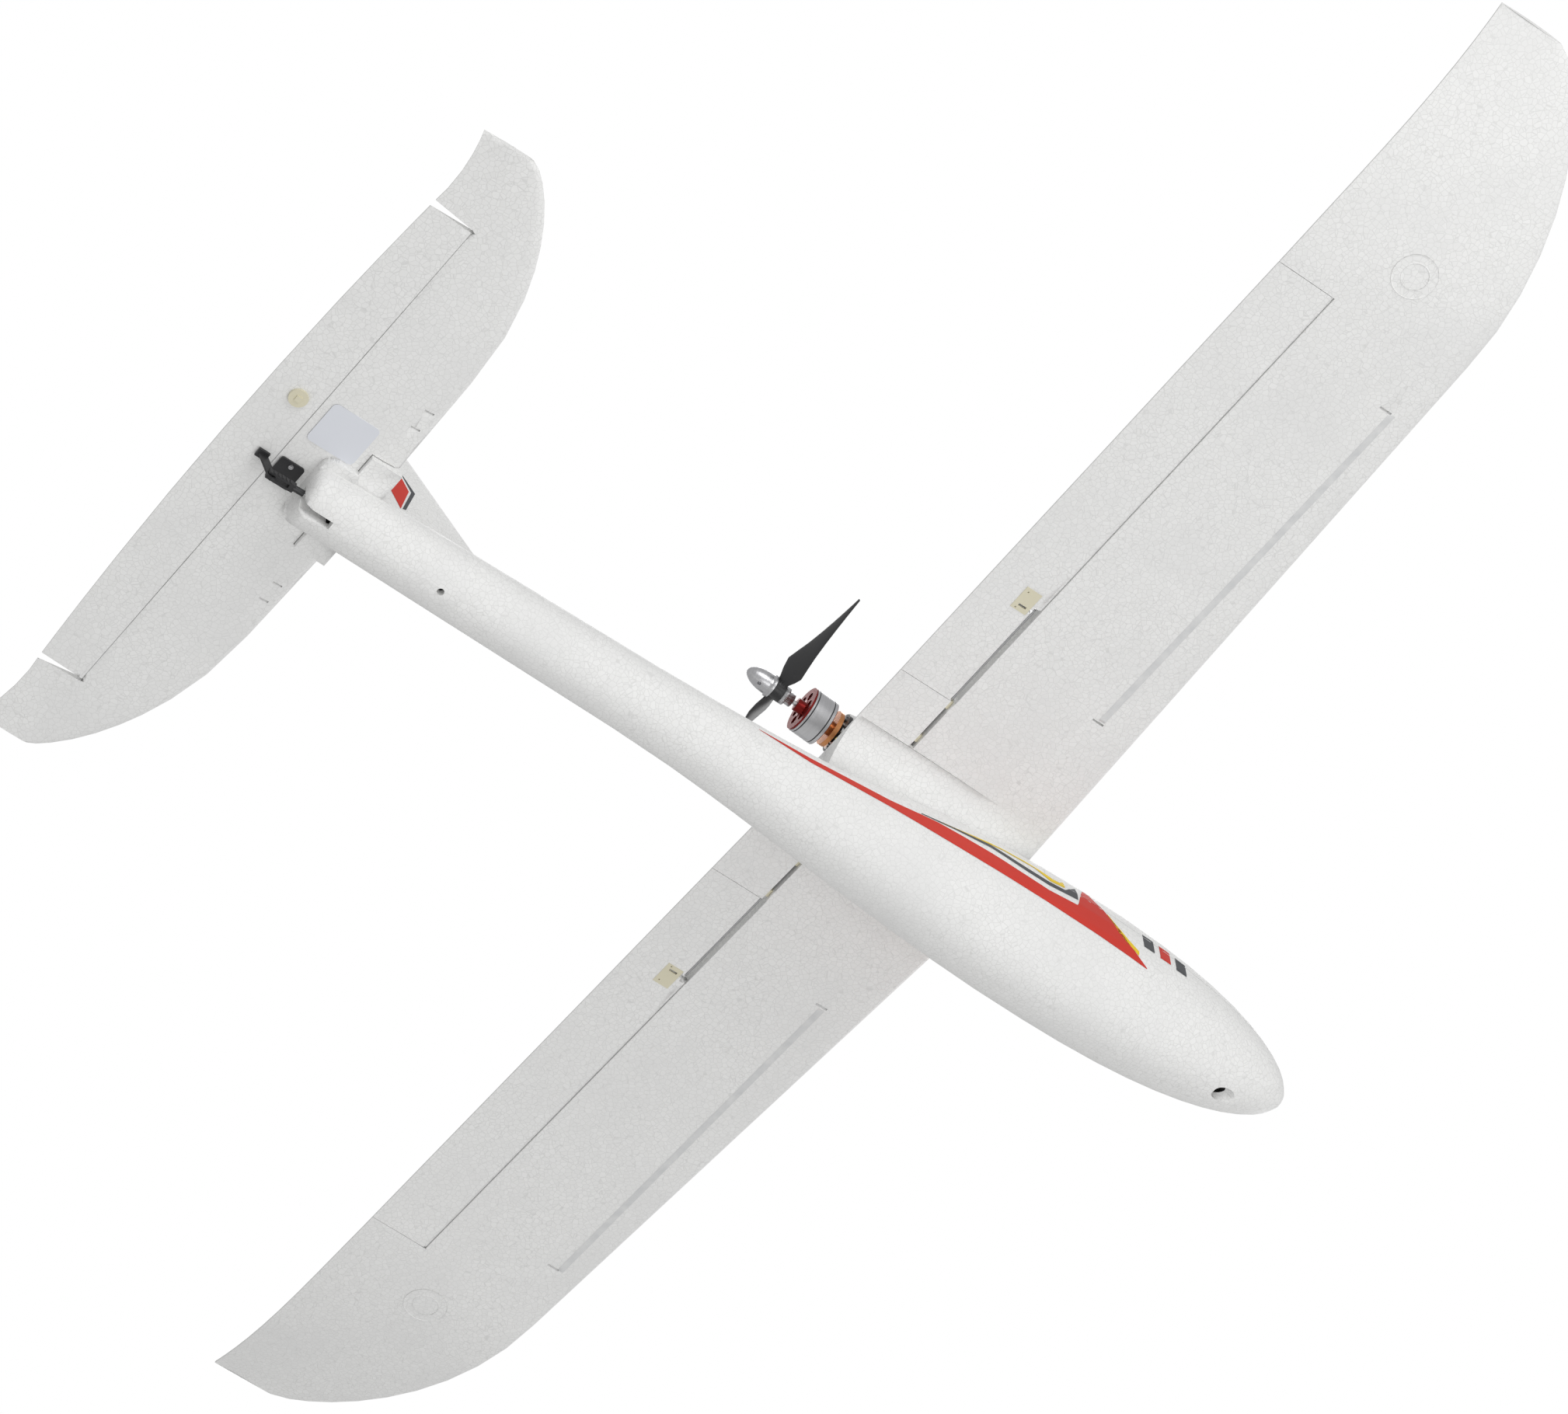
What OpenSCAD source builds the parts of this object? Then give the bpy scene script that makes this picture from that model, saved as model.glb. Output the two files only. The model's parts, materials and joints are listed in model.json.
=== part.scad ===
// Powered foam glider with a pusher motor on a pylon behind the wing.
// Frame: +X to the nose, +Y to port, +Z up; the belly rests on z = 0 and the
// origin is under the middle of the length and the span.

/* [Wing] */
// Wing span over the tips
wing_span = 1370; // [1340:1:1400]
// Dihedral of each wing panel, degrees
dihedral = 1.5; // [0:0.1:2.5]
// Height of the wing chord line on the centre plane
wing_z = 87; // [85:0.5:89]
// X of the leading edge, run in to the centre plane
lead_x = 192; // [188:1:196]
// X of the straight trailing edge
trail_x = 32; // [29:1:34]
// Thickness of the wing section as a share of its chord
wing_thick = 0.105; // [0.1:0.005:0.115]
// Height that the tips curl up by, beyond the dihedral
tip_rise = 42; // [30:1:50]
// Y where the wing panel meets the fuselage fairing
root_y = 56; // [54:1:58]

/* [Ailerons] */
// X of the aileron hinge line
aileron_hinge_x = 74; // [73:1:76]
// Y of the inboard end
aileron_in_y = 100; // [98:1:104]
// Y of the outboard end
aileron_out_y = 479; // [470:1:485]

/* [Fuselage] */
// X of the nose tip
nose_x = 425; // [424:1:427]
// Mean radius of the pod at its fattest station
pod_r = 48; // [47:0.5:49]
// X of the fattest station
pod_x = 234; // [230:1:238]
// X of the rear end of the boom
boom_end_x = -364; // [-366:1:-362]
// Radius of the boom at its rear end
boom_tail_r = 21.5; // [21:0.5:22.5]
// Height of the flat top line of the boom
deck_z = 74; // [73:0.5:75]
// Foam wall thickness
foam_wall = 6; // [5:0.5:7]

/* [Tail] */
// Half span of the stabilizer
stab_half_span = 273; // [265:1:280]
// Height of the underside of the stabilizer
stab_z = 63; // [62:0.5:64]
// Thickness of the stabilizer
stab_thick = 8; // [7.5:0.5:8.5]
// X of the elevator hinge line
elevator_hinge_x = -389; // [-390:0.5:-388]
// Half span of the elevator
elevator_half_span = 211; // [205:1:216]
// Height of the top of the fin
fin_top_z = 183; // [178:1:188]
// Thickness of the fin at its root
fin_thick = 10; // [9:0.5:11]

/* [Power unit] */
// X of the propeller hub
hub_x = 8; // [6:0.5:10]
// Height of the propeller hub
hub_z = 157; // [156.5:0.5:160]
// Upward tilt of the thrust line towards the rear, degrees
thrust_tilt = 7; // [6:0.5:8]
// Propeller radius
prop_r = 87.5; // [80:0.5:88]
// Motor can diameter
can_d = 32; // [30:0.5:33]
// Motor shaft diameter
shaft_d = 3.17; // [3:0.01:3.2]

/* [Linkages] */
// Diameter of the steel pushrods and torque rods
wire_d = 1.5; // [1.2:0.1:1.6]
// Y of the elevator pushrod at its horn
elevator_rod_y = -1; // [-2:0.5:1]
// Y of the rudder pushrod at its horn
rudder_rod_y = 12; // [11:0.5:13]

/* [Hidden] */

FOAM = [0.91, 0.91, 0.9];
CREAM = [0.9, 0.88, 0.76];
BLACK = [0.13, 0.13, 0.14];
STEEL = [0.7, 0.7, 0.72];
SILVER = [0.8, 0.8, 0.82];
RED = [0.62, 0.13, 0.12];
CARBON = [0.2, 0.2, 0.22];
WOOD = [0.78, 0.62, 0.42];
FAR = 900;                 // larger than the whole model
GAP = 0.4;                 // gap between foam parts that move past each other
half_span = wing_span / 2;

// ---------- helpers ----------

function clamp01(t) = max(0, min(1, t));
function ease(t) = let (u = clamp01(t)) u * u * (3 - 2 * u);
function lerp(a, b, t) = a + (b - a) * t;

// Closed solid through a list of rings with equal point counts
module loft(rings) {
  n = len(rings[0]);
  last = len(rings) - 1;
  points = [for (ring = rings) each ring];
  sides = [for (i = [0:last - 1], j = [0:n - 1]) let (
      a = i * n + j, b = i * n + (j + 1) % n, c = a + n, d = b + n)
      each [[a, c, b], [b, c, d]]];
  caps = [[for (j = [0:n - 1]) j], [for (j = [n - 1:-1:0]) last * n + j]];
  polyhedron(points, concat(sides, caps), convexity = 8);
}

// Box from its low corner to its high corner
module box(low, high) {
  translate(low) cube(high - low);
}

// Round bar between two points
module bar(from, to, r, sides = 24) {
  run = to - from;
  length = norm(run);
  translate(from)
    rotate([0, acos(run[2] / length), atan2(run[1], run[0])])
      cylinder(h = length, r = r, $fn = sides);
}

// Straight bar along +Y
module y_bar(x, y0, y1, z, r, sides = 32) {
  translate([x, y0, z]) rotate([-90, 0, 0]) cylinder(h = y1 - y0, r = r, $fn = sides);
}

// Places a part of the port wing, drawn flat, at the wing's dihedral
module port() {
  translate([0, 0, wing_z]) rotate([dihedral, 0, 0]) children();
}

// The same for the starboard wing
module starboard() {
  mirror([0, 1, 0]) port() children();
}

// Turns local +Z to point backwards along the thrust line, from the hub
module on_thrust() {
  translate([hub_x, 0, hub_z]) rotate([0, thrust_tilt - 90, 0]) children();
}

// ---------- wing ----------

TIP_START = 490;           // Y where the leading edge starts to curve back
TIP_LEAD = 90;             // X of the front corner of the tip
TIP_TRAIL = 42;            // X of the rear corner of the tip
LEAD_TAPER = 0.0347;       // sweep of the leading edge, mm per mm of span
CAMBER = 0.03;
SECTION_STEPS = 12;
WING_STATIONS = [-3, 56, 200, 350, 490, 520, 548, 575, 600, 622, 642, 658, 670, 679, 685];
TE_THICK = 1.4;            // foam thickness left at a trailing edge

function tip_share(y) = clamp01((y - TIP_START) / (half_span - TIP_START));
function wing_lead(y) = y <= TIP_START ? lead_x - LEAD_TAPER * y
  : lerp(TIP_LEAD, lead_x - LEAD_TAPER * TIP_START, pow(1 - pow(tip_share(y), 2), 0.7));
function wing_trail(y) = trail_x + (TIP_TRAIL - trail_x) * ease(tip_share(y));
function wing_lift(y) = tip_rise * pow(tip_share(y), 1.7);

// Half thickness of a streamlined section at share u of the chord
function half_thick(u) = 5 * (0.2969 * sqrt(u) - 0.126 * u - 0.3516 * u * u
  + 0.2843 * pow(u, 3) - 0.1036 * pow(u, 4));
function section_side(side) = [for (i = [0:SECTION_STEPS])
  let (u = (1 - cos(180 * i / SECTION_STEPS)) / 2) [u, side]];
// Upper side from the trailing edge forward, then the lower side back
function section_walk() = concat(
  [for (i = [SECTION_STEPS:-1:0]) section_side(1)[i]],
  [for (i = [1:SECTION_STEPS]) section_side(-1)[i]]);
function wing_ring(y) = let (
    lead = wing_lead(y), chord = lead - wing_trail(y),
    thick = wing_thick * lerp(1, 0.62, tip_share(y)))
  [for (s = section_walk()) let (u = s[0])
    [lead - u * chord, y, wing_lift(y) + 4 * CAMBER * u * (1 - u) * chord
      + s[1] * (half_thick(u) * thick * chord + u * TE_THICK / 2)]];

AILERON_Z = 3.6;           // height of the aileron hinge above the chord line
AILERON_NOSE = 4;          // radius of the rounded front of the aileron
AILERON_LIP = 2.2;         // groove in front of the hinge line
HORN_Y = 189;              // middle of the aileron horn plate
PLATE = [12, 18, 1.2];     // aileron horn plate
SPAR = [5, 400, 8];        // flat carbon spar in each wing
SPAR_X = 158;
SPAR_Y = 62;
SPAR_Z = 0.5;
JOINER_X = 118;
JOINER_R = 4;
JOINER_Y = 165;
joiner_z = wing_z + 9;
ROD_SLOT = 1.6;            // half width of the slot for the torque rod
ROD_IN_Y = 16;             // inner end of the torque rod
PIN_SLOT_Y = [145, 437];   // slots left by the mould pins
PIN_SLOT_X = [152, 148];

module wing_shape(y0, y1) {
  loft([for (y = WING_STATIONS) if (y >= y0 && y <= y1) wing_ring(y)]);
}

ROOT_STATIONS = [-3, 20, 28, 34, 40, 46, 51, root_y];
ROOT_INNER = 20;           // Y where the fairing reaches its full depth
ROOT_DEPTH = 22;           // how far its underside drops there, to meet the boom

// The root of the wing on the fuselage: its underside drops in a fillet towards the boom
function root_drop(y) = ROOT_DEPTH * pow(clamp01((root_y - y) / (root_y - ROOT_INNER)), 2.2);
function root_ring(y) = let (ring = wing_ring(y))
  [for (i = [0:len(ring) - 1]) let (u = section_walk()[i][0], low = section_walk()[i][1] < 0 ? 1 : 0)
    ring[i] - [0, 0, low * root_drop(y) * ease(u / 0.3) * (1 - 0.1 * u)]];

module root_shape() {
  loft([for (y = ROOT_STATIONS) root_ring(y)]);
}

module aileron_bay() {
  box([trail_x - 20, aileron_in_y - GAP, -30],
    [aileron_hinge_x + AILERON_LIP, aileron_out_y + GAP, 40]);
  y_bar(aileron_hinge_x, aileron_in_y - GAP, aileron_out_y + GAP, AILERON_Z, AILERON_NOSE + GAP, 48);
}

// Slot for the torque rod, inboard of the aileron: its lower end is below the wing, or inside it
module rod_slot(y0, y1, low) {
  box([aileron_hinge_x - ROD_SLOT, y0, low], [aileron_hinge_x + ROD_SLOT, y1, AILERON_Z + ROD_SLOT]);
}

module wing_flat() {
  difference() {
    wing_shape(WING_STATIONS[0], half_span);
    box([trail_x - 20, -10, -60], [lead_x + 20, root_y, 60]);
    aileron_bay();
    rod_slot(root_y - 1, aileron_in_y, -20);
    for (y = [root_y + 4, aileron_in_y - 8])
      y_bar(aileron_hinge_x, y, y + 6, AILERON_Z, 2.5);
    translate([SPAR_X - SPAR[0] / 2, SPAR_Y, SPAR_Z]) cube(SPAR);
    for (i = [0, 1])
      box([PIN_SLOT_X[i], PIN_SLOT_Y[i] - 0.8, -10], [PIN_SLOT_X[i] + 9, PIN_SLOT_Y[i] + 0.8, -1]);
  }
}

module joiner_bore() {
  y_bar(JOINER_X, -JOINER_Y - 1, JOINER_Y + 1, joiner_z, JOINER_R + 0.05, 48);
}

module left_wing() {
  color(FOAM) difference() {
    port() wing_flat();
    joiner_bore();
  }
}

module right_wing() {
  color(FOAM) difference() {
    starboard() wing_flat();
    joiner_bore();
  }
}

module wing_spar_flat() {
  translate([SPAR_X - SPAR[0] / 2, SPAR_Y, SPAR_Z]) cube(SPAR);
}

module left_wing_spar() {
  color(CARBON) port() wing_spar_flat();
}

module right_wing_spar() {
  color(CARBON) starboard() wing_spar_flat();
}

module wing_joiner() {
  color(CARBON) difference() {
    y_bar(JOINER_X, -JOINER_Y, JOINER_Y, joiner_z, JOINER_R, 48);
    y_bar(JOINER_X, -JOINER_Y - 1, JOINER_Y + 1, joiner_z, JOINER_R - 1, 32);
  }
}

// ---------- ailerons ----------

PLATE_X = aileron_hinge_x - 17;
PLATE_Z = -1.35;
ROD_TAIL_X = aileron_hinge_x - 12;

module aileron_flat() {
  difference() {
    union() {
      intersection() {
        wing_shape(root_y, 490);
        box([trail_x - 20, aileron_in_y, -30], [aileron_hinge_x, aileron_out_y, 40]);
      }
      y_bar(aileron_hinge_x, HORN_Y - 1, aileron_out_y, AILERON_Z, AILERON_NOSE, 48);
    }
    box([aileron_hinge_x - 3, aileron_in_y - 1, -30], [aileron_hinge_x + 6, HORN_Y - 1, 40]);
    translate([PLATE_X, HORN_Y - PLATE[1] / 2, PLATE_Z - 3]) cube(PLATE + [0, 0, 3]);
    box([ROD_TAIL_X - 1, HORN_Y - 6, PLATE_Z], [aileron_hinge_x + 5, HORN_Y - 3.5, AILERON_Z + 1]);
  }
}

module aileron_plate_flat() {
  difference() {
    translate([PLATE_X, HORN_Y - PLATE[1] / 2, PLATE_Z]) cube(PLATE);
    box([PLATE_X + 3.4, HORN_Y - 5.6, -5], [PLATE_X + 9.5, HORN_Y - 3.9, 5]);
    for (y = [HORN_Y - 7.5, HORN_Y + 6])
      translate([PLATE_X + 3, y, -5]) cylinder(h = 10, r = 0.6, $fn = 24);
  }
}

TORQUE_ARM = 12;           // length of the arm at the inner end of the torque rod

module torque_rod_flat() {
  r = wire_d / 2;
  bend_y = HORN_Y - 4.75;
  tail = [ROD_TAIL_X, bend_y, AILERON_Z - 2.4];
  y_bar(aileron_hinge_x, ROD_IN_Y, bend_y, AILERON_Z, r, 24);
  translate([aileron_hinge_x, bend_y, AILERON_Z]) sphere(r = r, $fn = 24);
  bar([aileron_hinge_x, bend_y, AILERON_Z], tail, r);
  translate([aileron_hinge_x, ROD_IN_Y, AILERON_Z]) sphere(r = r, $fn = 24);
  translate([aileron_hinge_x, ROD_IN_Y, AILERON_Z - TORQUE_ARM]) cylinder(h = TORQUE_ARM, r = r, $fn = 24);
}

module rod_sleeves_flat() {
  for (y = [root_y + 4, aileron_in_y - 8]) difference() {
    y_bar(aileron_hinge_x, y, y + 6, AILERON_Z, 2.5);
    y_bar(aileron_hinge_x, y - 1, y + 7, AILERON_Z, wire_d / 2 + 0.06);
  }
}

module left_aileron() { color(FOAM) port() aileron_flat(); }
module right_aileron() { color(FOAM) starboard() aileron_flat(); }
module left_aileron_plate() { color(CREAM) port() aileron_plate_flat(); }
module right_aileron_plate() { color(CREAM) starboard() aileron_plate_flat(); }
module left_torque_rod() { color(STEEL) port() torque_rod_flat(); }
module right_torque_rod() { color(STEEL) starboard() torque_rod_flat(); }
module left_rod_sleeves() { color(CREAM) port() rod_sleeves_flat(); }
module right_rod_sleeves() { color(CREAM) starboard() rod_sleeves_flat(); }

// ---------- fuselage ----------

AXIS_Z = pod_r * 1.1;      // height of the fuselage axis, so that the belly is at z = 0
BLEND_X = -106;            // X where the boom starts to swell into the pod
RING_POINTS = 28;
NOSE_LAST = nose_x - 4;    // last full section before the rounded nose tip
HULL_STATIONS = [boom_end_x + 6, -250, -106, -60, -32, -8, 16, 40, 65, 95, 125, 160, 195, 234,
  265, 295, 320, 342, 362, 378, 391, 402, 411, 417, NOSE_LAST];
BAY_STATIONS = [boom_end_x + 20, -250, -106, -60, -32, -8, 16, 40, 65, 95, 125, 160, 195, 234,
  265, 295, 320, 342, 362, 378, 388];
TAIL_ROUND = 6;            // radius of the rounded rear end of the boom

function nose_share(x) = clamp01((x - pod_x) / (nose_x - pod_x));
function pod_share(x) = x > pod_x ? 1 - 0.6 * nose_share(x) : ease((x - BLEND_X) / (pod_x - BLEND_X));
function boom_r(x) = boom_tail_r + 0.012 * (x - boom_end_x);
function body_r(x) = x > pod_x ? pod_r * sqrt(1 - pow(nose_share(x), 2.2))
  : lerp(boom_r(x), pod_r, pod_share(x));
function body_z(x) = AXIS_Z - 5 * pow(nose_share(x), 2);
function body_half_width(x) = body_r(x) * (1 - 0.1 * pod_share(x));
function body_low(x) = body_r(x) * (1 + 0.1 * pod_share(x));
// The top line of the boom, with a shallow dip under the propeller
function deck_up(x) = deck_z - AXIS_Z - 6.5 * exp(-pow((x - 18) / 45, 2));
function body_up(x) = x > pod_x ? body_low(x) : lerp(deck_up(x), body_low(x), ease((x - 30) / 100));

function body_ring(x, inset = 0) = let (
    a = body_half_width(x) - inset, up = body_up(x) - inset, low = body_low(x) - inset)
  [for (i = [0:RING_POINTS - 1]) let (t = 360 * i / RING_POINTS)
    [x, a * cos(t), body_z(x) + (sin(t) > 0 ? up : low) * sin(t)]];
function small_ring(x, share) = let (ring = body_ring(boom_end_x + TAIL_ROUND))
  [for (p = ring) [x, p[1] * share, AXIS_Z + (p[2] - AXIS_Z) * share]];
function nose_ring(x, share) = let (ring = body_ring(NOSE_LAST))
  [for (p = ring) [x, p[1] * share, body_z(nose_x) + (p[2] - body_z(NOSE_LAST)) * share]];

// Outside of the fuselage: boom, pod and rounded nose
module hull_shape() {
  loft(concat(
    [small_ring(boom_end_x, 0.72), small_ring(boom_end_x + 1.8, 0.9)],
    [for (x = HULL_STATIONS) body_ring(x)],
    [nose_ring(nose_x - 1.2, 0.66), nose_ring(nose_x, 0.22)]));
}

// Hollow inside of the fuselage
module bay_shape() {
  loft([for (x = BAY_STATIONS) body_ring(x, foam_wall)]);
}

// The same, less the ribs that carry the battery tray and the servo tray
module ribbed_bay() {
  difference() {
    bay_shape();
    for (rib = FLOOR_RIBS) box([rib[0], -60, 0], [rib[1], 60, TRAY_Z]);
    for (rib = TRAY_RIBS, side = [-1, 1])
      translate([0, side * 37, 0]) box([rib[0], -23, 0], [rib[1], 23, SERVO_TRAY_Z]);
  }
}

// Canopy outline: everything above a sloping plane, between two X stations
CANOPY_X = [196, 398];
CANOPY_Z = 66.7;
CANOPY_SLOPE = 3;

module canopy_space(gap) {
  translate([CANOPY_X[0] + gap, 0, CANOPY_Z + gap]) rotate([0, CANOPY_SLOPE, 0])
    translate([0, -100, 0]) cube([CANOPY_X[1] - CANOPY_X[0] - 2 * gap, 200, 100]);
}

PYLON_FRONT = 150;
PYLON_TOP = hub_z + 14;
MOUNT_FACE = 52;           // distance of the pylon's rear face ahead of the hub

function pylon_ring(z) = let (
    share = clamp01((z - 90) / (PYLON_TOP - 90)),
    rear = hub_x + MOUNT_FACE - 12,
    front = PYLON_FRONT - 34 * share * share,
    half = 13 * (z > hub_z ? sqrt(max(0.05, 1 - pow((z - hub_z) / 15, 2))) : 1))
  [for (i = [0:19]) let (t = 360 * i / 20)
    [(front + rear) / 2 + (front - rear) / 2 * cos(t) * (0.8 + 0.2 * abs(cos(t))),
      half * sin(t) * (1 - 0.25 * cos(t)), z]];

// Pylon over the wing that carries the motor, cut square to the thrust line
module pylon_shape() {
  difference() {
    loft([for (z = [84, 120, hub_z - 12, hub_z, hub_z + 6, hub_z + 10, PYLON_TOP]) pylon_ring(z)]);
    on_thrust() translate([-60, -40, -MOUNT_FACE]) cube([120, 80, 80]);
  }
}

SEAT_Y = 27;               // half width of the flange under the stabilizer
SEAT_H = 7;
SEAT_CORNER = 9;
TONGUE_Y = 42;             // half width of the tongue that fills the stabilizer notch
TONGUE_X = [-341, -318];

// Seat for the stabilizer: a flange with round rear corners, and a tongue in front of it
module tail_seat() {
  box([boom_end_x + SEAT_CORNER, -SEAT_Y, stab_z - SEAT_H], [TONGUE_X[0] + 1, SEAT_Y, stab_z]);
  box([boom_end_x, SEAT_CORNER - SEAT_Y, stab_z - SEAT_H], [TONGUE_X[0], SEAT_Y - SEAT_CORNER, stab_z]);
  for (side = [-1, 1])
    translate([boom_end_x + SEAT_CORNER, side * (SEAT_Y - SEAT_CORNER), stab_z - SEAT_H])
      cylinder(h = SEAT_H, r = SEAT_CORNER, $fn = 48);
  box([TONGUE_X[0], -TONGUE_Y, stab_z - 4], [TONGUE_X[1], TONGUE_Y, stab_z + 5]);
}

INLET_X = 404;             // where the line of the cooling duct meets z = 0
INLET_R = 6;
FLOOR_RIBS = [[160, 164], [318, 322]];
TRAY_RIBS = [[118.5, 122.5], [151.5, 155.5]];
ROD_POCKET = [[64, -20, 66], [82, 20, wing_z + 4]];
SERVO_BAY = [[82, -20, 60], [112, 20, wing_z + 2]];
AERIAL_X = -259;
ROD_EXIT = 3;              // half width of the slot where the elevator pushrod leaves the boom

module fuselage_solid() {
  difference() {
    union() {
      hull_shape();
      port() root_shape();
      starboard() root_shape();
      pylon_shape();
      tail_seat();
    }
    ribbed_bay();
    canopy_space(0);
    magnets(-MAGNET_H - 0.6);
    // room for the stabilizer on its seat
    box([elevator_hinge_x - 60, -60, stab_z], [TONGUE_X[0] - 0.4, 60, stab_z + 60]);
    box([TONGUE_X[0] - 1, -60, stab_z + 5], [TONGUE_X[1], 60, stab_z + 60]);
    // wing joiner, torque rods and the aileron servo
    joiner_bore();
    port() rod_slot(ROD_IN_Y - 3, root_y + 1, AILERON_Z - ROD_SLOT);
    starboard() rod_slot(ROD_IN_Y - 3, root_y + 1, AILERON_Z - ROD_SLOT);
    box(ROD_POCKET[0], ROD_POCKET[1]);
    box(SERVO_BAY[0], SERVO_BAY[1]);
    // cooling inlet: a slanted round duct from under the nose into the bay
    translate([INLET_X, 0, 0]) rotate([0, -62, 0]) cylinder(h = 62, r = INLET_R, $fn = 40);
    // aerial exit and pushrod exits
    translate([AERIAL_X, -3, 20]) cylinder(h = 30, r = 2.5, $fn = 32);
    box([boom_end_x - 5, elevator_rod_y - ROD_EXIT, 20], [boom_end_x + 22, elevator_rod_y + ROD_EXIT, 53]);
    rudder_bore();
    lead_channel();
  }
}

module port_half_space() { box([-FAR, 0, -FAR], [FAR, FAR, FAR]); }
module starboard_half_space() { box([-FAR, -FAR, -FAR], [FAR, 0, FAR]); }

module fuselage_left() {
  color(FOAM) intersection() {
    fuselage_solid();
    port_half_space();
  }
}

module fuselage_right() {
  color(FOAM) intersection() {
    fuselage_solid();
    starboard_half_space();
  }
}

module canopy() {
  color(FOAM) difference() {
    intersection() {
      hull_shape();
      canopy_space(0.3);
    }
    bay_shape();
    magnets(1);
  }
}

MAGNETS = [[208, 38.4], [208, -38.4], [392.5, 0]];
MAGNET_H = 2;

function split_z(x) = CANOPY_Z - (x - CANOPY_X[0]) * tan(CANOPY_SLOPE);

// Round magnets at a height above or below the canopy's joint
module magnets(lift) {
  for (m = MAGNETS)
    translate([m[0], m[1], split_z(m[0]) + lift]) cylinder(h = MAGNET_H, r = 2, $fn = 32);
}

module bay_magnets() {
  color(STEEL) magnets(-MAGNET_H - 0.6);
}

module canopy_magnets() {
  color(STEEL) magnets(1);
}

// ---------- tail ----------

STAB_TIP_LEAD = -386;
STAB_TIP_TRAIL = -424;
STAB_TIP_HOLLOW = 14;      // how hollow the trailing edge is between the elevator and the tip
STAB_LEAD = -320;
STAB_CURVE_Y = 120;
STAB_STATIONS = [0, 60, 120, 160, 190, 211, 226, 241, 254, 264, 270, 273];
STAB_STEPS = 8;

function stab_share(y) = clamp01((y - STAB_CURVE_Y) / (stab_half_span - STAB_CURVE_Y));
function stab_lead(y) = lerp(STAB_TIP_LEAD, STAB_LEAD - 0.02 * min(y, STAB_CURVE_Y),
  pow(1 - pow(stab_share(y), 2), 0.75));
function stab_trail(y) = y <= elevator_half_span
  ? -425 + 6.5 * pow(y / elevator_half_span, 2)
  : let (t = (y - elevator_half_span) / (stab_half_span - elevator_half_span))
    lerp(-418.5, STAB_TIP_TRAIL, t) + STAB_TIP_HOLLOW * t * (1 - t);
// Rounded front, flat middle and a taper to the trailing edge
function slab_half(u) = u < 0.12 ? sqrt(1 - pow(1 - u / 0.12, 2))
  : u < 0.5 ? 1 : lerp(1, 0.16, (u - 0.5) / 0.5);
function slab_walk(steps) = concat(
  [for (i = [steps:-1:0]) [i / steps, 1]],
  [for (i = [1:steps]) [i / steps, -1]]);
function front_bunch(u) = u < 0.25 ? 0.12 * (1 - cos(90 * u / 0.25)) : lerp(0.12, 1, (u - 0.25) / 0.75);
function stab_ring(y) = let (
    lead = stab_lead(y), trail = stab_trail(y),
    half = stab_thick / 2 * lerp(1, 0.6, stab_share(y)))
  [for (s = slab_walk(STAB_STEPS)) let (u = front_bunch(s[0]))
    [lerp(lead, trail, u), y, stab_z + stab_thick / 2 + s[1] * half * slab_half(u)]];

module stab_half() {
  loft([for (y = STAB_STATIONS) stab_ring(y)]);
}

ELEVATOR_Z = stab_z + stab_thick / 2;
ELEVATOR_NOSE = 2.6;
ELEVATOR_LIP = 1.6;

// V-shaped relief at each end of the elevator
module elevator_end_cut() {
  translate([0, 0, stab_z - 5]) linear_extrude(20)
    polygon([[elevator_hinge_x + ELEVATOR_LIP, elevator_half_span - 1],
      [elevator_hinge_x + ELEVATOR_LIP, elevator_half_span + 1],
      [elevator_hinge_x - 50, elevator_half_span + 6],
      [elevator_hinge_x - 50, elevator_half_span - 1]]);
}

STAB_SPAR = [[-352, -180, ELEVATOR_Z - 1.5], [-349, 180, ELEVATOR_Z + 1.5]];
STAB_PIN_SLOT_Y = [74, 89];

module stabilizer() {
  color(FOAM) difference() {
    union() {
      stab_half();
      mirror([0, 1, 0]) stab_half();
    }
    box([elevator_hinge_x - 60, -elevator_half_span, stab_z - 10],
      [elevator_hinge_x + ELEVATOR_LIP, elevator_half_span, stab_z + 30]);
    y_bar(elevator_hinge_x, -elevator_half_span, elevator_half_span, ELEVATOR_Z, ELEVATOR_NOSE + GAP, 40);
    elevator_end_cut();
    mirror([0, 1, 0]) elevator_end_cut();
    // notch for the fuselage tongue, spar groove and mould-pin slots
    box([TONGUE_X[0] - 0.6, -TONGUE_Y - 0.6, stab_z - 10], [-300, TONGUE_Y + 0.6, stab_z + 20]);
    box(STAB_SPAR[0], STAB_SPAR[1]);
    translate([TAIL_SCREW[0], TAIL_SCREW[1], stab_z - 1]) cylinder(h = 7, r = 0.86, $fn = 24);
    for (y = STAB_PIN_SLOT_Y, side = [-1, 1])
      box([-335, side * y - 0.7, stab_z - 5], [-328, side * y + 0.7, stab_z + 2.5]);
  }
}

module stabilizer_spar() {
  color(CARBON) box(STAB_SPAR[0], STAB_SPAR[1]);
}

module elevator() {
  color(FOAM) difference() {
    union() {
      intersection() {
        union() {
          stab_half();
          mirror([0, 1, 0]) stab_half();
        }
        box([elevator_hinge_x - 60, -elevator_half_span + 1.4, stab_z - 10],
          [elevator_hinge_x, elevator_half_span - 1.4, stab_z + 30]);
      }
      y_bar(elevator_hinge_x, -elevator_half_span + 1.4, elevator_half_span - 1.4,
        ELEVATOR_Z, ELEVATOR_NOSE, 40);
    }
    elevator_horn_solid();
    elevator_plug_solid();
  }
}

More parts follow.
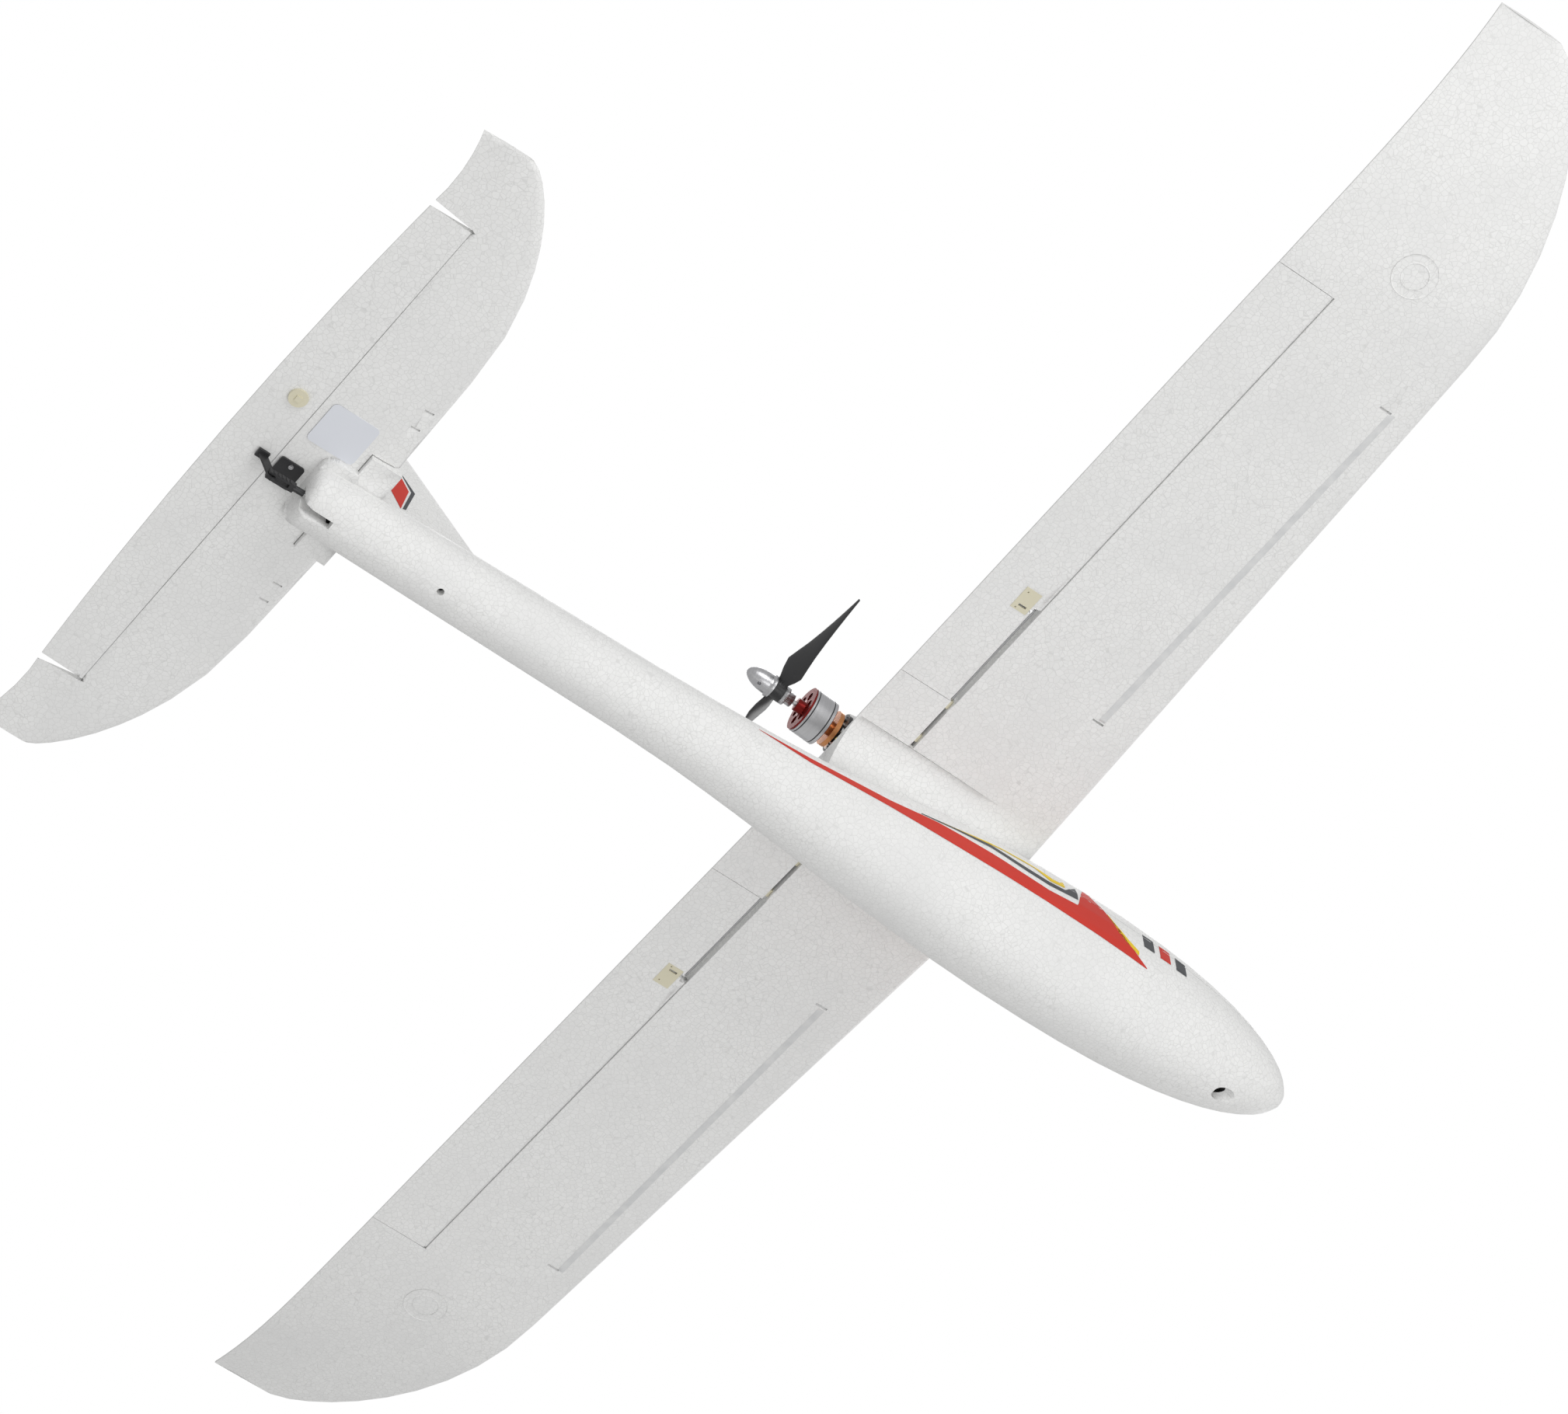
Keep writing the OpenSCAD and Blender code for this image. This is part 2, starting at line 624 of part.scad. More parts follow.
HORN_HOLE = [elevator_hinge_x + 1, elevator_rod_y, stab_z - 16];
HORN_SLOT = 1.6;           // length of the hole, because the pin travels straight
HORN_THICK = 1.6;

// Foot under the elevator and an upright that leans forward to the clevis
module elevator_horn_solid() {
  x = HORN_HOLE[0];
  z = HORN_HOLE[2];
  box([elevator_hinge_x - 11, elevator_rod_y - 3, stab_z - 1],
    [elevator_hinge_x - 3, elevator_rod_y + 3, stab_z + 1]);
  translate([0, elevator_rod_y + HORN_THICK / 2, 0]) rotate([90, 0, 0]) linear_extrude(HORN_THICK)
    polygon([[x - 11, stab_z - 0.5], [x - 4.2, stab_z - 0.5], [x + 2.4, z + 1.5],
      [x + 2.6, z - 3], [x, z - 4.6], [x - 2.6, z - 3]]);
}

module elevator_horn() {
  color(BLACK) difference() {
    elevator_horn_solid();
    for (drop = [0, HORN_SLOT / 2, HORN_SLOT])
      y_bar(HORN_HOLE[0], elevator_rod_y - 3, elevator_rod_y + 3, HORN_HOLE[2] - drop, 1.25);
  }
}

TAIL_PLATE = [[-385.6, -8, stab_z - 1.4], [-368, 11.5, stab_z]];
TAIL_SCREW = [-377, -5];

// Plate and screw that hold the stabilizer down behind the boom
module tail_plate() {
  color(BLACK) difference() {
    union() {
      box(TAIL_PLATE[0] + [2, 0, 0], TAIL_PLATE[1] - [2, 0, 0]);
      box(TAIL_PLATE[0] + [0, 2, 0], TAIL_PLATE[1] - [0, 2, 0]);
      for (x = [TAIL_PLATE[0][0] + 2, TAIL_PLATE[1][0] - 2], y = [TAIL_PLATE[0][1] + 2, TAIL_PLATE[1][1] - 2])
        translate([x, y, TAIL_PLATE[0][2]]) cylinder(h = 1.4, r = 2, $fn = 32);
    }
    translate([TAIL_SCREW[0], TAIL_SCREW[1], stab_z - 5]) cylinder(h = 10, r = 0.9, $fn = 24);
  }
}

module tail_screw() {
  color(STEEL) translate([TAIL_SCREW[0], TAIL_SCREW[1], stab_z - 2.4]) difference() {
    union() {
      cylinder(h = 1, r = 1.7, $fn = 32);
      cylinder(h = 7.5, r = 0.85, $fn = 24);
    }
    for (a = [0, 90]) rotate([0, 0, a]) translate([-1.1, -0.25, -1]) cube([2.2, 0.5, 1.5]);
  }
}

PLUG = [elevator_hinge_x - 13, -48];

module elevator_plug_solid() {
  translate([PLUG[0], PLUG[1], stab_z + 0.2]) cylinder(h = 2.4, r = 6.4, $fn = 48);
  translate([PLUG[0] - 2, PLUG[1] - 2, stab_z - 0.6]) cube([4, 4, 1.8]);
}

module elevator_plug() {
  color(CREAM) elevator_plug_solid();
}

STICKER = [[elevator_hinge_x + 7, -60], [elevator_hinge_x + 42, -SEAT_Y - 0.3]];

module blank_sticker() {
  color([0.83, 0.84, 0.88])
    box([STICKER[0][0], STICKER[0][1], stab_z - 0.2], [STICKER[1][0], STICKER[1][1], stab_z]);
}

FIN_FOOT = -212;           // X where the leading edge meets the boom
RUDDER_FOOT = [-380, 75];  // X and Z of the lower end of the rudder hinge
RUDDER_HEAD = [-364, fin_top_z];
rudder_rake = atan2(RUDDER_HEAD[0] - RUDDER_FOOT[0], RUDDER_HEAD[1] - RUDDER_FOOT[1]);
FIN_STATIONS = [deck_z - 6, 90, 110, 130, 150, 165, 174, 180, fin_top_z, fin_top_z + 4];

function fin_lead(z) = FIN_FOOT - (z - deck_z) * 0.965 - 16 * pow(clamp01((z - 150) / (fin_top_z - 150)), 3);
function fin_trail(z) = -416 + 41 * (z - RUDDER_BOTTOM) / (fin_top_z - RUDDER_BOTTOM);
function fin_ring(z) = let (
    lead = fin_lead(z), trail = fin_trail(z),
    half = fin_thick / 2 * lerp(1, 0.55, (z - 75) / (fin_top_z - 75)))
  [for (s = slab_walk(STAB_STEPS)) let (u = front_bunch(s[0]))
    [lerp(lead, trail, u), -s[1] * half * slab_half(u), z]];

module fin_shape() {
  loft([for (z = FIN_STATIONS) fin_ring(z)]);
}

RUDDER_NOSE = 2.6;
RUDDER_BOTTOM = 86;

// Draws along the raked rudder hinge: local +Z runs up the hinge
module on_rudder_hinge() {
  translate([RUDDER_FOOT[0], 0, RUDDER_FOOT[1]]) rotate([0, rudder_rake, 0]) children();
}

module behind_rudder_hinge(lip, length) {
  on_rudder_hinge() translate([-90, -20, -20]) cube([90 + lip, 40, length]);
}

module above_fin() {
  box([-450, -20, fin_top_z], [-200, 20, 250]);
}

module fin() {
  color(FOAM) difference() {
    fin_shape();
    behind_rudder_hinge(RUDDER_NOSE + GAP, 200);
    // the fin stands on the boom ahead of the stabilizer, and on the stabilizer
    box([TONGUE_X[1], -20, 0], [-200, 20, deck_z]);
    box([-450, -20, 0], [TONGUE_X[1], 20, stab_z + stab_thick]);
    above_fin();
  }
}

module rudder() {
  color(FOAM) difference() {
    union() {
      intersection() {
        fin_shape();
        behind_rudder_hinge(0, 200);
      }
      on_rudder_hinge() cylinder(h = 110, r = RUDDER_NOSE, $fn = 40);
    }
    box([-450, -20, 0], [-300, 20, RUDDER_BOTTOM]);
    above_fin();
    rudder_horn_solid();
  }
}

RUDDER_HORN_Z = 90;
rudder_horn_x = RUDDER_FOOT[0] + (RUDDER_HORN_Z - RUDDER_FOOT[1]) * tan(rudder_rake);

module rudder_horn_solid() {
  box([rudder_horn_x - 15, 3, RUDDER_HORN_Z - 3], [rudder_horn_x - 3, 5.6, RUDDER_HORN_Z + 6]);
  translate([0, 0, RUDDER_HORN_Z - 0.7]) linear_extrude(1.4)
    polygon([[rudder_horn_x - 12, 4], [rudder_horn_x - 4, 4],
      [rudder_horn_x + 2.2, rudder_rod_y + 1], [rudder_horn_x, rudder_rod_y + 4],
      [rudder_horn_x - 3.4, rudder_rod_y + 3]]);
}

module rudder_horn() {
  color(BLACK) difference() {
    rudder_horn_solid();
    for (y = [0, 0.65, 1.3])
      translate([rudder_horn_x - 0.5, rudder_rod_y + y, 60]) cylinder(h = 50, r = 1.3, $fn = 24);
  }
}

// ---------- linkages ----------

SERVO_X = 132;             // X of the elevator and rudder servo shafts
SERVO_ARM = 10;
ELEVATOR_ARM_TIP = [SERVO_X, -9, 58];
RUDDER_ARM_TIP = [SERVO_X, 22, 50];
RUDDER_HOLE = [rudder_horn_x - 0.5, rudder_rod_y, RUDDER_HORN_Z];
ROD_END = 14;              // from the clevis pin to the end of the pushrod

// Points on the straight lines of the two pushrods
function on_line(tip, hole, x) = lerp(tip, hole, (tip[0] - x) / (tip[0] - hole[0]));
function elevator_rod_at(x) = on_line(ELEVATOR_ARM_TIP, HORN_HOLE, x);
function rudder_rod_at(x) = on_line(RUDDER_ARM_TIP, RUDDER_HOLE, x);

RUDDER_EXIT_X = -125;      // X where the rudder pushrod's guide ends, outside the boom

module rudder_bore() {
  bar(rudder_rod_at(60), rudder_rod_at(RUDDER_EXIT_X - 10), 1.75);
}

// Tube that guides a pushrod inside the boom
module guide(front, rear, run) {
  color(CREAM) difference() {
    bar(front, rear, 1.6);
    bar(front + run, rear - run, wire_d / 2 + 0.3);
  }
}

module elevator_guide() {
  front = elevator_rod_at(60);
  rear = elevator_rod_at(-330);
  guide(front, rear, (front - rear) / 300);
}

module rudder_guide() {
  front = rudder_rod_at(60);
  rear = rudder_rod_at(RUDDER_EXIT_X);
  guide(front, rear, (front - rear) / 300);
}

module elevator_pushrod() {
  color(STEEL) bar(elevator_rod_at(SERVO_X + 3), elevator_rod_at(HORN_HOLE[0] + ROD_END), wire_d / 2);
}

module rudder_pushrod() {
  color(STEEL) bar(rudder_rod_at(SERVO_X + 3), rudder_rod_at(RUDDER_HOLE[0] + ROD_END), wire_d / 2);
}

// Clevis drawn along +X from its pin at the origin: two ribbed jaws, a barrel and a pin
module clevis(jaw, turn) {
  rotate([turn, 0, 0]) {
    difference() {
      union() {
        translate([-3, -2.9, -1.9]) cube([20, 5.8, 3.8]);
        for (x = [0, 3, 6, 9, 12]) translate([x, -3.3, -1.6]) cube([1.4, 6.6, 3.2]);
        translate([16, 0, 0]) rotate([0, 90, 0]) cylinder(h = 8, r = 2.2, $fn = 32);
      }
      translate([-4, -jaw / 2, -5]) cube([17, jaw, 10]);
      translate([ROD_END, 0, 0]) rotate([0, 90, 0]) cylinder(h = 12, r = wire_d / 2, $fn = 32);
    }
    translate([0, -2.9, 0]) rotate([-90, 0, 0]) cylinder(h = 5.8, r = 0.8, $fn = 24);
  }
}

// Turns +X to run along a line from one point to another
module along(from, to) {
  run = to - from;
  translate(from) rotate([0, -asin(run[2] / norm(run)), atan2(run[1], run[0])]) children();
}

module elevator_clevis() {
  color(BLACK) along(HORN_HOLE, ELEVATOR_ARM_TIP) clevis(2.8, 0);
}

module rudder_clevis() {
  color(BLACK) along(RUDDER_HOLE, RUDDER_ARM_TIP) clevis(3, 90);
}

// ---------- servos and electronics ----------

SERVO = [23, 12, 22];      // case of a micro servo, long side along X

// Micro servo with its shaft at the origin, its top face 6 below the arm
module servo() {
  translate([-6, -SERVO[1] / 2, -SERVO[2]]) cube(SERVO);
  difference() {
    translate([-11, -SERVO[1] / 2, -6.5]) cube([SERVO[0] + 10, SERVO[1], 2]);
    for (x = [-8.5, SERVO[0] - 3.5]) translate([x, 0, -10]) cylinder(h = 10, r = 1, $fn = 24);
  }
  cylinder(h = 3.5, r = 5.8, $fn = 40);
  cylinder(h = 5.2, r = 2.3, $fn = 32);
}

// Servo arm on the shaft, with one or two arms along +Y
module servo_arm(reach, both) {
  difference() {
    union() {
      cylinder(h = 3.2, r = 3.4, $fn = 32);
      translate([-2.2, both ? -reach - 1.5 : 0, 1.4]) cube([4.4, (both ? 2 : 1) * (reach + 1.5), 1.4]);
    }
    translate([0, 0, -1]) cylinder(h = 2.8, r = 2.4, $fn = 32);
  }
}

ELEVATOR_SERVO = ELEVATOR_ARM_TIP - [0, SERVO_ARM, 9];
RUDDER_SERVO = RUDDER_ARM_TIP - [0, SERVO_ARM, 9];
SERVO_EARS = -6.5;         // underside of a servo's ears, from the top of its case
SERVO_TRAY_Z = 32.2;
SERVO_BLUE = [0.2, 0.28, 0.5];

module elevator_servo() {
  color(SERVO_BLUE) translate(ELEVATOR_SERVO) servo();
}

module rudder_servo() {
  color(SERVO_BLUE) translate(RUDDER_SERVO) servo();
}

module elevator_servo_arm() {
  color("white") translate(ELEVATOR_SERVO + [0, 0, 4.4]) servo_arm(SERVO_ARM, false);
}

module rudder_servo_arm() {
  color("white") translate(RUDDER_SERVO + [0, 0, 4.4]) servo_arm(SERVO_ARM, false);
}

// Plywood plate under the ears of the rudder servo, with a post for the elevator servo
module servo_tray() {
  color(WOOD) difference() {
    union() {
      box([118.5, -27.5, SERVO_TRAY_Z], [155.5, 27.5, SERVO_TRAY_Z + 2]);
      for (x = [SERVO_X - 11, SERVO_X + 17.3])
        box([x, ELEVATOR_SERVO[1] - 6, SERVO_TRAY_Z],
          [x + 4.7, ELEVATOR_SERVO[1] + 6, ELEVATOR_SERVO[2] + SERVO_EARS]);
    }
    for (y = [RUDDER_SERVO[1], ELEVATOR_SERVO[1]])
      box([SERVO_X - 6.3, y - 6.3, SERVO_TRAY_Z - 1], [SERVO_X + 17.3, y + 6.3, SERVO_TRAY_Z + 3]);
  }
}

AILERON_SERVO_X = 95;
aileron_servo_z = wing_z - 15.8;
LINK_Y = ROD_IN_Y;

module aileron_servo() {
  color(SERVO_BLUE) translate([AILERON_SERVO_X, 0, aileron_servo_z]) servo();
}
module aileron_servo_arm() {
  color("white") translate([AILERON_SERVO_X, 0, aileron_servo_z + 4.4]) servo_arm(LINK_Y - 2, true);
}

link_z = aileron_servo_z + 8.8;

// Plywood plate across the fuselage under the ears of the aileron servo
module aileron_servo_tray() {
  color(WOOD) difference() {
    box([83, -25, aileron_servo_z + SERVO_EARS - 2], [118, 25, aileron_servo_z + SERVO_EARS]);
    box([AILERON_SERVO_X - 6.3, -6.3, 40], [AILERON_SERVO_X + 17.3, 6.3, 80]);
  }
}

module aileron_link(side) {
  color(STEEL) {
    bar([AILERON_SERVO_X + 2, side * LINK_Y, link_z], [aileron_hinge_x + 4, side * LINK_Y, link_z], 0.8);
    translate([AILERON_SERVO_X, side * LINK_Y, link_z - 1.1]) cylinder(h = 2.2, r = 2.2, $fn = 32);
  }
}
module left_aileron_link() { aileron_link(1); }
module right_aileron_link() { aileron_link(-1); }

TRAY_X = [158, 330];
TRAY_Z = 20;

module battery_tray() {
  color(WOOD) difference() {
    box([TRAY_X[0], -19, TRAY_Z], [TRAY_X[1], 19, TRAY_Z + 2]);
    for (side = [-1, 1]) translate([0, side * 19, 0]) box([300, -2.1, TRAY_Z - 1], [316, 2.1, TRAY_Z + 3]);
  }
}

BATTERY = [[224, -16.5, TRAY_Z + 2], [328, 16.5, TRAY_Z + 26]];

module battery_pack() {
  color([0.15, 0.3, 0.6]) box(BATTERY[0], BATTERY[1]);
}

// Strap round the battery and through the tray slots
module battery_strap() {
  color(BLACK) difference() {
    box([301, -18.5, TRAY_Z - 1.3], [315, 18.5, BATTERY[1][2] + 1.3]);
    box([300, -17.1, TRAY_Z - 0.1], [316, 17.1, BATTERY[1][2] + 0.1]);
  }
}

module speed_controller() {
  color([0.1, 0.35, 0.2]) {
    box([176, -12, TRAY_Z + 2], [221, 12, TRAY_Z + 10]);
    for (y = [-6.8, 0, 6.8]) bar([176.5, y, TRAY_Z + 6], [169, y, TRAY_Z + 6], 1.6);
  }
}

module receiver() {
  color([0.16, 0.16, 0.18]) {
    box([70, -11, 21.6], [108, 7, 33.6]);
    box([66, -9, 24], [70, 5, 31]);
  }
}

LEAD_R = 1.3;
LEAD_SIDES = 10;
// Route of the middle motor lead, from the speed controller to the motor
LEAD_ROUTE = [[167.5, 0, TRAY_Z + 6], [160, 0, 62], [134, 0, 68], [134, 0, 133.6],
  [57.5, 0, 133.6], [53.5, 0, 137]];
LEAD_SPREAD = [6.8, 5, 3.4, 3.4, 3.4, 5];

function unit(v) = v / norm(v);
function lead_point(side, i) = LEAD_ROUTE[i] + [0, side * LEAD_SPREAD[i], 0];
// Ring of a lead at a bend, square to the line that halves the bend
function lead_ring(side, i) = let (
    last = len(LEAD_ROUTE) - 1, here = lead_point(side, i),
    before = unit(i > 0 ? here - lead_point(side, i - 1) : lead_point(side, 1) - here),
    after = unit(i < last ? lead_point(side, i + 1) - here : before),
    run = unit(before + after), across = unit(cross(run, [0, 1, 0])), up = cross(across, run),
    stretch = 1 / (run * before))
  [for (j = [0:LEAD_SIDES - 1]) let (t = 360 * j / LEAD_SIDES)
    here + LEAD_R * (up * cos(t) + across * stretch * sin(t))];

module motor_leads() {
  color([0.75, 0.2, 0.12]) for (side = [-1, 0, 1])
    loft([for (i = [0:len(LEAD_ROUTE) - 1]) lead_ring(side, i)]);
}

// Passage for the leads up the pylon and out of its rear face
module lead_channel() {
  box([40, -5.5, 131], [140, 5.5, 138]);
  box([130, -5.5, 60], [140, 5.5, 138]);
}

// ---------- motor and propeller, drawn along the thrust line from the hub ----------

BELL_BACK = -21;           // rear face of the bell
CAN_LENGTH = 18;
STATOR_BACK = BELL_BACK - CAN_LENGTH;
MOUNT_THICK = 2.5;

module motor_mount() {
  color([0.72, 0.6, 0.45]) on_thrust() difference() {
    union() {
      translate([0, 0, -MOUNT_FACE]) cylinder(h = MOUNT_THICK, r = 14.5, $fn = 64);
      translate([0, 0, -MOUNT_FACE + MOUNT_THICK]) cylinder(h = 3, r = 7, $fn = 48);
    }
    for (a = [45:90:315])
      rotate([0, 0, a]) translate([11, 0, -MOUNT_FACE - 1]) cylinder(h = 9, r = 1.3, $fn = 24);
  }
}

module mount_screws() {
  color(STEEL) on_thrust() for (a = [45:90:315]) rotate([0, 0, a])
    translate([11, 0, -MOUNT_FACE + MOUNT_THICK]) {
      cylinder(h = 1.6, r = 2.4, $fn = 32);
      translate([0, 0, -MOUNT_THICK]) cylinder(h = MOUNT_THICK, r = 1.2, $fn = 24);
    }
}

module motor_stator() {
  color([0.62, 0.34, 0.16]) on_thrust() difference() {
    union() {
      translate([0, 0, -MOUNT_FACE + MOUNT_THICK + 3]) cylinder(h = 3.2, r = 13, $fn = 48);
      translate([0, 0, -MOUNT_FACE + 8]) cylinder(h = 16, r = 5, $fn = 48);
      translate([0, 0, STATOR_BACK + 1.5]) cylinder(h = 12, r = 7, $fn = 48);
      for (a = [0:40:320]) rotate([0, 0, a]) translate([4, -2.2, STATOR_BACK + 2]) cube([8, 4.4, 11]);
    }
    translate([0, 0, -60]) cylinder(h = 60, r = shaft_d / 2 + 0.05, $fn = 48);
  }
}

module motor_bell() {
  color(RED) on_thrust() {
    difference() {
      translate([0, 0, STATOR_BACK]) cylinder(h = CAN_LENGTH, r = can_d / 2, $fn = 96);
      translate([0, 0, STATOR_BACK - 1]) cylinder(h = CAN_LENGTH - 1.5, r = can_d / 2 - 2.4, $fn = 96);
      for (a = [0:60:300])
        rotate([0, 0, a]) translate([9.2, 0, BELL_BACK - 5]) cylinder(h = 8, r = 3, $fn = 40);
      translate([0, 0, -60]) cylinder(h = 60, r = shaft_d / 2, $fn = 48);
    }
    difference() {
      translate([0, 0, BELL_BACK]) cylinder(h = 5, r = 4.6, $fn = 48);
      translate([0, 0, -60]) cylinder(h = 60, r = shaft_d / 2, $fn = 48);
    }
  }
}

module motor_shaft() {
  color(STEEL) on_thrust() translate([0, 0, -MOUNT_FACE + 6])
    cylinder(h = MOUNT_FACE - 12, r = shaft_d / 2, $fn = 48);
}

HUB_HALF = 4;              // half thickness of the propeller hub

module prop_adapter() {
  color(SILVER) on_thrust() difference() {
    union() {
      translate([0, 0, -12.5]) cylinder(h = 5, r = 4.6, $fn = 48);
      translate([0, 0, -7.5]) cylinder(h = 3.5, r = 6.4, $fn = 48);
      translate([0, 0, -4]) cylinder(h = 15, r = 3, $fn = 48);
    }
    translate([0, 0, -13]) cylinder(h = 7, r = shaft_d / 2, $fn = 48);
  }
}

BLADE_STATIONS = [4, 9, 14, 20, 28, 38, 50, 62, 73, 81, 86];
BLADE_STEPS = 8;

// Chord of a blade: narrow at the hub, widest near the root, pointed at the tip
function blade_chord(r) = r < 22 ? lerp(7, 21, ease((r - 4) / 18))
  : lerp(21, 2.5, pow((r - 22) / (prop_r - 22), 0.9));
function blade_pitch(r) = atan2(20, r + 8);
function blade_ring(r) = let (
    chord = blade_chord(r), pitch = blade_pitch(r),
    half = lerp(2.6, 0.5, pow(r / prop_r, 0.6)))
  [for (i = [0:BLADE_STEPS * 2 - 1]) let (
      t = 180 * i / BLADE_STEPS, c = chord * (0.5 * cos(t) + 0.05), h = half * sin(t))
    [r, c * cos(pitch) - h * sin(pitch), c * sin(pitch) + h * cos(pitch)]];

PROP_TURN = 92;            // angle of the blades from vertical

module propeller() {
  color(BLACK) on_thrust() rotate([0, 0, PROP_TURN]) difference() {
    union() {
      cylinder(h = 2 * HUB_HALF, r = 6.5, center = true, $fn = 64);
      for (a = [0, 180]) rotate([0, 0, a])
        loft(concat([for (r = BLADE_STATIONS) blade_ring(r)], [blade_ring(prop_r)]));
    }
    cylinder(h = 20, r = 3.05, center = true, $fn = 48);
  }
}

NUT_LENGTH = 20;
TOMMY_R = 1.25;
TOMMY_Z = 8;

// Bullet-shaped nut with a cross hole for a tightening bar
module spinner_nut() {
  color(SILVER) on_thrust() translate([0, 0, HUB_HALF]) difference() {
    union() {
      cylinder(h = 2, r = 8.2, $fn = 64);
      rotate_extrude($fn = 96) polygon(concat([[0, 0], [7.2, 0]],
        [for (i = [0:12]) let (t = i / 12) [7.2 * cos(90 * t) , 4 + (NUT_LENGTH - 4) * sin(90 * t)]]));
    }
    translate([0, 0, -1]) cylinder(h = 8.2, r = 3.05, $fn = 48);
    rotate([0, 0, PROP_TURN]) translate([0, 0, TOMMY_Z + 1.8]) rotate([90, 0, 0])
      cylinder(h = 30, r = TOMMY_R, center = true, $fn = 48);
  }
}

fuselage_left();
fuselage_right();
left_wing();
right_wing();
left_wing_spar();
right_wing_spar();
wing_joiner();
stabilizer();
stabilizer_spar();
fin();
battery_tray();
battery_pack();
battery_strap();
speed_controller();
receiver();
servo_tray();
aileron_servo_tray();
elevator_servo();
rudder_servo();
aileron_servo();
motor_mount();
mount_screws();
motor_stator();
motor_leads();
elevator_guide();
rudder_guide();
left_rod_sleeves();
right_rod_sleeves();
bay_magnets();
blank_sticker();
tail_plate();
tail_screw();
canopy();
canopy_magnets();
motor_bell();
motor_shaft();
prop_adapter();
propeller();
spinner_nut();
left_aileron();
left_aileron_plate();
left_torque_rod();
right_aileron();
right_aileron_plate();
right_torque_rod();
elevator();
elevator_horn();
elevator_plug();
rudder();
rudder_horn();
elevator_pushrod();
elevator_clevis();
rudder_pushrod();
rudder_clevis();
elevator_servo_arm();
rudder_servo_arm();
aileron_servo_arm();
left_aileron_link();
right_aileron_link();
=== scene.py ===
"""Looks for a white foam model airplane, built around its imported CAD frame.

The frame is +X to the nose, +Y to port, +Z up, in metres. The script reads only the frame.
"""

import json
import math

import bmesh
import bpy
from mathutils import Matrix, Vector
from mathutils.bvhtree import BVHTree


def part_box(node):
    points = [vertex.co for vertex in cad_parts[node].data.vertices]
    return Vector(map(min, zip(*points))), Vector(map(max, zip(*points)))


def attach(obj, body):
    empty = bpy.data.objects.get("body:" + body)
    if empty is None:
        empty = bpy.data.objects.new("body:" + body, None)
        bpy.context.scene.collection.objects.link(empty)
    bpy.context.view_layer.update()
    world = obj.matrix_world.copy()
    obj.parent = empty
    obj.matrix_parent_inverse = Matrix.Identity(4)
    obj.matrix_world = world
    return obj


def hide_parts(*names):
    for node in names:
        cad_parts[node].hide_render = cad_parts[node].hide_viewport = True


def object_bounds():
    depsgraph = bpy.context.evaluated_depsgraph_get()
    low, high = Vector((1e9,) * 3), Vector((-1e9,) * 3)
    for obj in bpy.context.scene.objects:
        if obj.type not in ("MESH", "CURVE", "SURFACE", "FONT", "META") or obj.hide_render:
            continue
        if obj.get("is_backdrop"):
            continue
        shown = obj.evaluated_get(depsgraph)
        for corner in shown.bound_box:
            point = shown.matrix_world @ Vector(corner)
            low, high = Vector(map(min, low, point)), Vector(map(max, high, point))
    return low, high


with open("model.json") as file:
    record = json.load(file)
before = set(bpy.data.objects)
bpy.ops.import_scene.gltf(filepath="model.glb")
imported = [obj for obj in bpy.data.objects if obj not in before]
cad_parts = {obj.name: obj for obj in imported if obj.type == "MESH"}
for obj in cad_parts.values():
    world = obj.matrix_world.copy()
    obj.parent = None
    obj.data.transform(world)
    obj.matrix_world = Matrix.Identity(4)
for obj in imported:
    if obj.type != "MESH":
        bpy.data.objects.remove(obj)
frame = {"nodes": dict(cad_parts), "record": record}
cad_low, cad_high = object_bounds()
record = frame["record"]
SLOT_OF = {part["node"]: part["material_slot"] for part in record["subparts"]}
BODY_OF = {node: body for body, nodes in record["behaviour"]["bodies"].items() for node in nodes}
MM = 0.001
UP = Vector((0, 0, 1))


# ---------- shader helpers ----------


